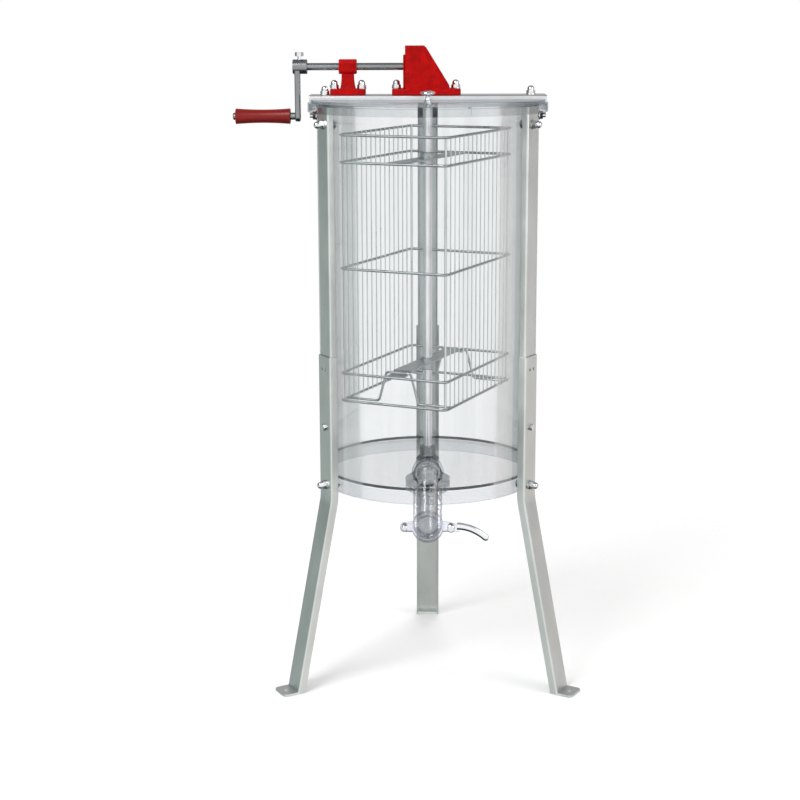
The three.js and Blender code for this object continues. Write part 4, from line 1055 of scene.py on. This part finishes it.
def outlet_elbow():
    mouth_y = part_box("outlet_elbow")[0].y
    mouth_z = middle("gate_slide").z
    wall_z = middle("outlet_gasket").z
    made = outlet_run(OUTLET["pipe"], -189 * MM, mouth_y + 5 * MM)
    stub = rod((0, -170 * MM, wall_z), (0, -196 * MM, wall_z), OUTLET["stub"], 48)
    normal = Vector((0, -math.cos(COLLAR["tilt"]), -math.sin(COLLAR["tilt"])))
    place = pointing((0, COLLAR["y"], COLLAR["z"]), normal) @ Matrix.Rotation(math.pi / 8, 4, "Z")
    octagon = fillet(circle(COLLAR["radius"], 8), 3 * MM, 4)
    collar = soften(prism(octagon, 0, COLLAR["thickness"], place), 1.5 * MM, 3, 50)
    ring = rod((0, mouth_y + 11 * MM, mouth_z), (0, mouth_y, mouth_z), OUTLET["mouth"], 64, 0.8 * MM)
    lugs, screws = [], []
    for side in (-1, 1):
        root, reach = side * 15 * MM, side * OUTLET["lug"]
        ear = [(root, mouth_z - 8 * MM), (reach, mouth_z - BOSS)]
        ear += [(reach, mouth_z + BOSS), (root, mouth_z + 10 * MM)]
        front, back = (reach, mouth_y, mouth_z), (reach, mouth_y + BOSS, mouth_z)
        lugs += [along_y(ear, mouth_y, mouth_y + BOSS), rod(back, front, BOSS, 40, 0.6 * MM)]
        screws.append(through(front, back))
    combine(made, "UNION", stub, collar, ring, *lugs)
    combine(made, "DIFFERENCE", outlet_run(OUTLET["bore"], -160 * MM, mouth_y - 10 * MM))
    drill(made, SCREW_HOLE, *screws)
    dress(made, "drum", "gate_clear", "outlet_elbow")


def outlet_gasket():
    """A ring between the nut and the wall, hollowed to the wall's curve."""
    low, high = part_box("outlet_gasket")
    height = (low.z + high.z) / 2
    radius = (high.x - low.x) / 2
    made = rod((0, high.y, height), (0, low.y - 6 * MM, height), radius, 96)
    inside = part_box("drum_floor")[1].x
    wall = rod((0, 0, height - 40 * MM), (0, 0, height + 40 * MM), inside, 192)
    combine(made, "INTERSECT", wall)
    drill(made, OUTLET["stub"] + 0.5 * MM, through((0, high.y, height), (0, low.y - 6 * MM, height)))
    dress(made, "drum", "silicone", "outlet_gasket")


def outlet_nut():
    low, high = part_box("outlet_nut")
    height = (low.z + high.z) / 2
    outline = fillet(circle((high.x - low.x) / 2, 8), 2 * MM, 4)
    made = prism(outline, 0, high.y - low.y, pointing((0, high.y, height), (0, -1, 0)))
    soften(made, 0.7 * MM, 2, 50)
    drill(made, OUTLET["stub"] + 0.5 * MM, through((0, high.y, height), (0, low.y, height)))
    dress(made, "drum", "gate_clear", "outlet_nut")


def gate_slide():
    low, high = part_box("gate_slide")
    centre_z = (low.z + high.z) / 2
    lug = OUTLET["lug"]
    made = rod((0, high.y, centre_z), (0, low.y, centre_z), OUTLET["mouth"], 96, 0.5 * MM)
    tip = lug + 13 * MM
    arm = [(-lug, centre_z - BOSS), (tip, centre_z - 6 * MM)]
    arm += [(tip, centre_z + 6 * MM), (-lug, centre_z + BOSS)]
    pivot = (-lug, high.y, centre_z), (-lug, low.y, centre_z)
    lens = [(0, 0), (17 * MM, 0), (17 * MM, 1.4 * MM), (15.5 * MM, 2 * MM), (14 * MM, 1.4 * MM)]
    lens += [(13 * MM, 0.5 * MM), (9 * MM, 1.2 * MM), (4 * MM, 1.7 * MM), (0, 1.8 * MM)]
    raised = revolve(lens, pointing((0, low.y + 0.5 * MM, centre_z), (0, -1, 0)), 96)
    combine(made, "UNION", along_y(arm, low.y, high.y), rod(*pivot, BOSS, 40), raised)
    drill(made, SCREW_HOLE, through(*pivot))
    half = 4.1 * MM
    notch = rectangle(lug - half, lug + half, centre_z - 20 * MM, centre_z + 3.1 * MM)
    combine(made, "DIFFERENCE", along_y(fillet(notch, 2 * MM, 5), low.y - CLEAR, high.y + CLEAR))
    dress(made, "gate", "slide_clear", "gate_slide")


def gate_lever():
    low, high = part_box("gate_lever")
    y = (low.y + high.y) / 2
    depth, height = (high.y - low.y) / 2, 6 * MM
    tip = high.x - 5.5 * MM
    path = []
    for i in range(25):
        share = i / 24
        drop = (high.z - low.z - 2 * height) * (0.08 * share + 0.92 * share**2.2)
        path.append(Vector((low.x + (tip - low.x) * share, y, high.z - height - drop)))
    end = path[-1]
    onward = (end - path[-2]).normalized() * 5.4 * MM
    path += [end + onward * math.sin(math.pi / 2 * i / 8) for i in range(1, 9)]

    def section(share):
        round_end = max(0.0, share * 32 - 24) / 8
        size = math.cos(math.pi / 2 * min(round_end, 0.98))
        return [(u * (height - 0.8 * MM * share) * size, v * depth * size) for u, v in circle(1, 28)]

    dress(sweep(path, section, Vector((0, 1, 0))), "gate", "chrome", "gate_lever", sharp=60)


def gate_screw(node_name, body, head_radius, head_height):
    low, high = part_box(node_name)
    length = high.y - low.y
    shank, corner = 2.5 * MM, 4.6 * MM
    nut_low, nut_high = length - 5 * MM, length - 1 * MM
    rings = [(0, 0), (head_radius * 0.8, 0), (head_radius, 0.8 * MM), (head_radius, head_height)]
    rings += [(shank, head_height), (shank, nut_low), hexagon(corner, nut_low, 1)]
    rings += [hexagon(corner, nut_high, 0), (shank, nut_high), (shank, length), (0, length)]
    place = pointing((middle(node_name).x, low.y, middle("gate_slide").z), (0, 1, 0))
    made = revolve(rings, place, HEX_SEGMENTS)
    dress(made, body, "fastener_steel", node_name, sharp=28)


# ---- carried-over gears ----


def gears():
    for node_name in ("crank_gear", "shaft_pinion"):
        gear = frame["nodes"][node_name]
        gear.data.materials.clear()
        gear.data.materials.append(MATERIALS["machined_steel"])


# ---- stage, lights and camera ----


SOFT_LIGHT = 0.62  # strength of the background as a light


def stage():
    """A pale floor that fades into the background. Reflections see the world's ground in its place."""
    floor_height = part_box("lower_leg_left")[0].z
    corners = [(x, y, floor_height) for x, y in rectangle(-3, 3, -3, 3)]
    floor = new_object(corners, [(0, 1, 2, 3)], "floor")
    tree = start_material("floor_paint")
    tone = blend(tree, noise(tree, 60), rgb(0.90, 0.90, 0.90), rgb(0.92, 0.92, 0.92))
    paint = node(tree, "ShaderNodeBsdfDiffuse", Color=tone)
    place = node(tree, "ShaderNodeTexCoord").outputs["Object"]
    flat = operate(tree, "ShaderNodeVectorMath", "MULTIPLY", place, (1, 1, 0))[0]
    reach = operate(tree, "ShaderNodeVectorMath", "LENGTH", flat)["Value"]
    faded = rescale(tree, reach, 0.5, 1.3, 0, 1)
    show(tree, mixed(tree, faded, paint, node(tree, "ShaderNodeBsdfTransparent")))
    floor.data.materials.append(MATERIALS["floor_paint"])
    floor.visible_glossy = False


def world():
    """White to the camera. Reflections see a cool left, a warm right, a bright front and dark elsewhere."""
    made = bpy.data.worlds.new("studio")
    made.use_nodes = True
    tree = made.node_tree
    tree.nodes.clear()
    direction = node(tree, "ShaderNodeTexCoord").outputs["Generated"]
    toward = node(tree, "ShaderNodeSeparateXYZ", Vector=direction).outputs
    across = rescale(tree, toward["X"], -0.7, 0.7, 0, 1)
    room = blend(tree, across, rgb(0.46, 0.52, 0.50), rgb(0.82, 0.77, 0.75))
    raised = rescale(tree, toward["Z"], -0.10, 0.0, 0, 1)
    room = blend(tree, raised, room, blend(tree, across, rgb(0.14, 0.17, 0.18), rgb(0.42, 0.41, 0.41)))
    front = rescale(tree, toward["Y"], -1, 0.3, 1, 0)
    room = blend(tree, maths(tree, "POWER", front, 2.0), room, rgb(1.12, 1.12, 1.12))
    behind = rescale(tree, toward["Y"], 0.6, 0.95, 0, 1)
    room = blend(tree, behind, room, rgb(0.50, 0.51, 0.52))
    ground = rescale(tree, toward["Z"], -0.78, -0.60, 0, 1)
    room = blend(tree, ground, rgb(0.035, 0.04, 0.045), room)
    above = rescale(tree, toward["Z"], 0.5, 0.85, 0, 1)
    room = blend(tree, above, room, rgb(0.34, 0.35, 0.36))
    rays = node(tree, "ShaderNodeLightPath").outputs
    strength = rescale(tree, rays["Is Camera Ray"], 0, 1, SOFT_LIGHT, 1)
    seen = node(tree, "ShaderNodeBackground", Color=rgb(1, 1, 1), Strength=strength)
    reflected = node(tree, "ShaderNodeBackground", Color=room, Strength=1.0)
    mix = mixed(tree, rays["Is Glossy Ray"], seen, reflected)
    show(tree, mix, "ShaderNodeOutputWorld")
    bpy.context.scene.world = made


def area_light(name, place, target, size, power, colour=(1, 1, 1), reflected=True):
    data = bpy.data.lights.new(name, "AREA")
    data.size = size
    data.energy = power
    data.color = colour
    made = bpy.data.objects.new(name, data)
    made.matrix_world = pointing(place, Vector(place) - Vector(target))
    made.visible_glossy = reflected
    bpy.context.scene.collection.objects.link(made)


def lights():
    centre = (0, 0, 0.3)
    area_light("key", (-1.6, -2.2, 2.6), centre, 1.6, 80)
    area_light("fill", (2.4, -1.4, 1.4), centre, 1.8, 26, (1.0, 0.97, 0.94))
    area_light("back", (0.4, 2.6, 2.0), centre, 2.0, 40, reflected=False)


CAMERA = {
    "place": (-0.0003, -2.8712, 0.7516),
    "pitch": math.radians(12.53),
    "yaw": math.radians(0.95),
    "roll": math.radians(-0.2),
    "lens": 76.5,
}


def camera():
    """Stands in front, a little above the lid, and looks slightly down and to the left."""
    data = bpy.data.cameras.new("camera")
    data.lens = CAMERA["lens"]
    made = bpy.data.objects.new("camera", data)
    aim = Matrix.Rotation(CAMERA["yaw"], 4, "Z") @ Matrix.Rotation(math.pi / 2 - CAMERA["pitch"], 4, "X")
    made.matrix_world = Matrix.Translation(CAMERA["place"]) @ aim @ Matrix.Rotation(CAMERA["roll"], 4, "Z")
    bpy.context.scene.collection.objects.link(made)
    bpy.context.scene.camera = made


# ---- assembly ----

drum_shell()
drum_floor()
rim()
for lid_name, lid_side in (("front", -1), ("rear", 1)):
    lid(lid_name, lid_side)
    lid_knob(lid_name)
for leg_name, leg_azimuth in LEGS.items():
    upper_leg(leg_name, leg_azimuth)
    lower_leg(leg_name, leg_azimuth)
fasteners()
top_beam()
for bracket_name, bracket_side in SIDES.items():
    beam_bracket(bracket_name, bracket_side)
gear_housing()
bearing_plate()
bearing_pedestal()
bush("crank_bush_inner", 9 * MM, 6.35 * MM)
bush("crank_bush_outer", 8.5 * MM, 6.35 * MM)
top_bush()
crank_shaft()
crank_arm()
set_screw()
grip_spindle()
crank_grip()
basket_rings()
for face_name, face_side in (("one", -1), ("two", 1)):
    face_wires(face_name, face_side)
cross_bar("cross_bar_upper", 0)
cross_bar("cross_bar_lower", 5 * MM)
for rest_name, rest_side in (("one", -1), ("two", 1)):
    frame_rest(rest_name, rest_side)
basket_shaft()
floor_bearing()
outlet_elbow()
outlet_gasket()
outlet_nut()
gate_slide()
gate_lever()
gate_screw("gate_pivot_screw", "drum", 4.5 * MM, 3 * MM)
gate_screw("gate_clamp_screw", "clamp_screw", 6 * MM, 6 * MM)
gears()
stage()
world()
lights()
camera()

scene = bpy.context.scene
scene.view_settings.view_transform = "Standard"
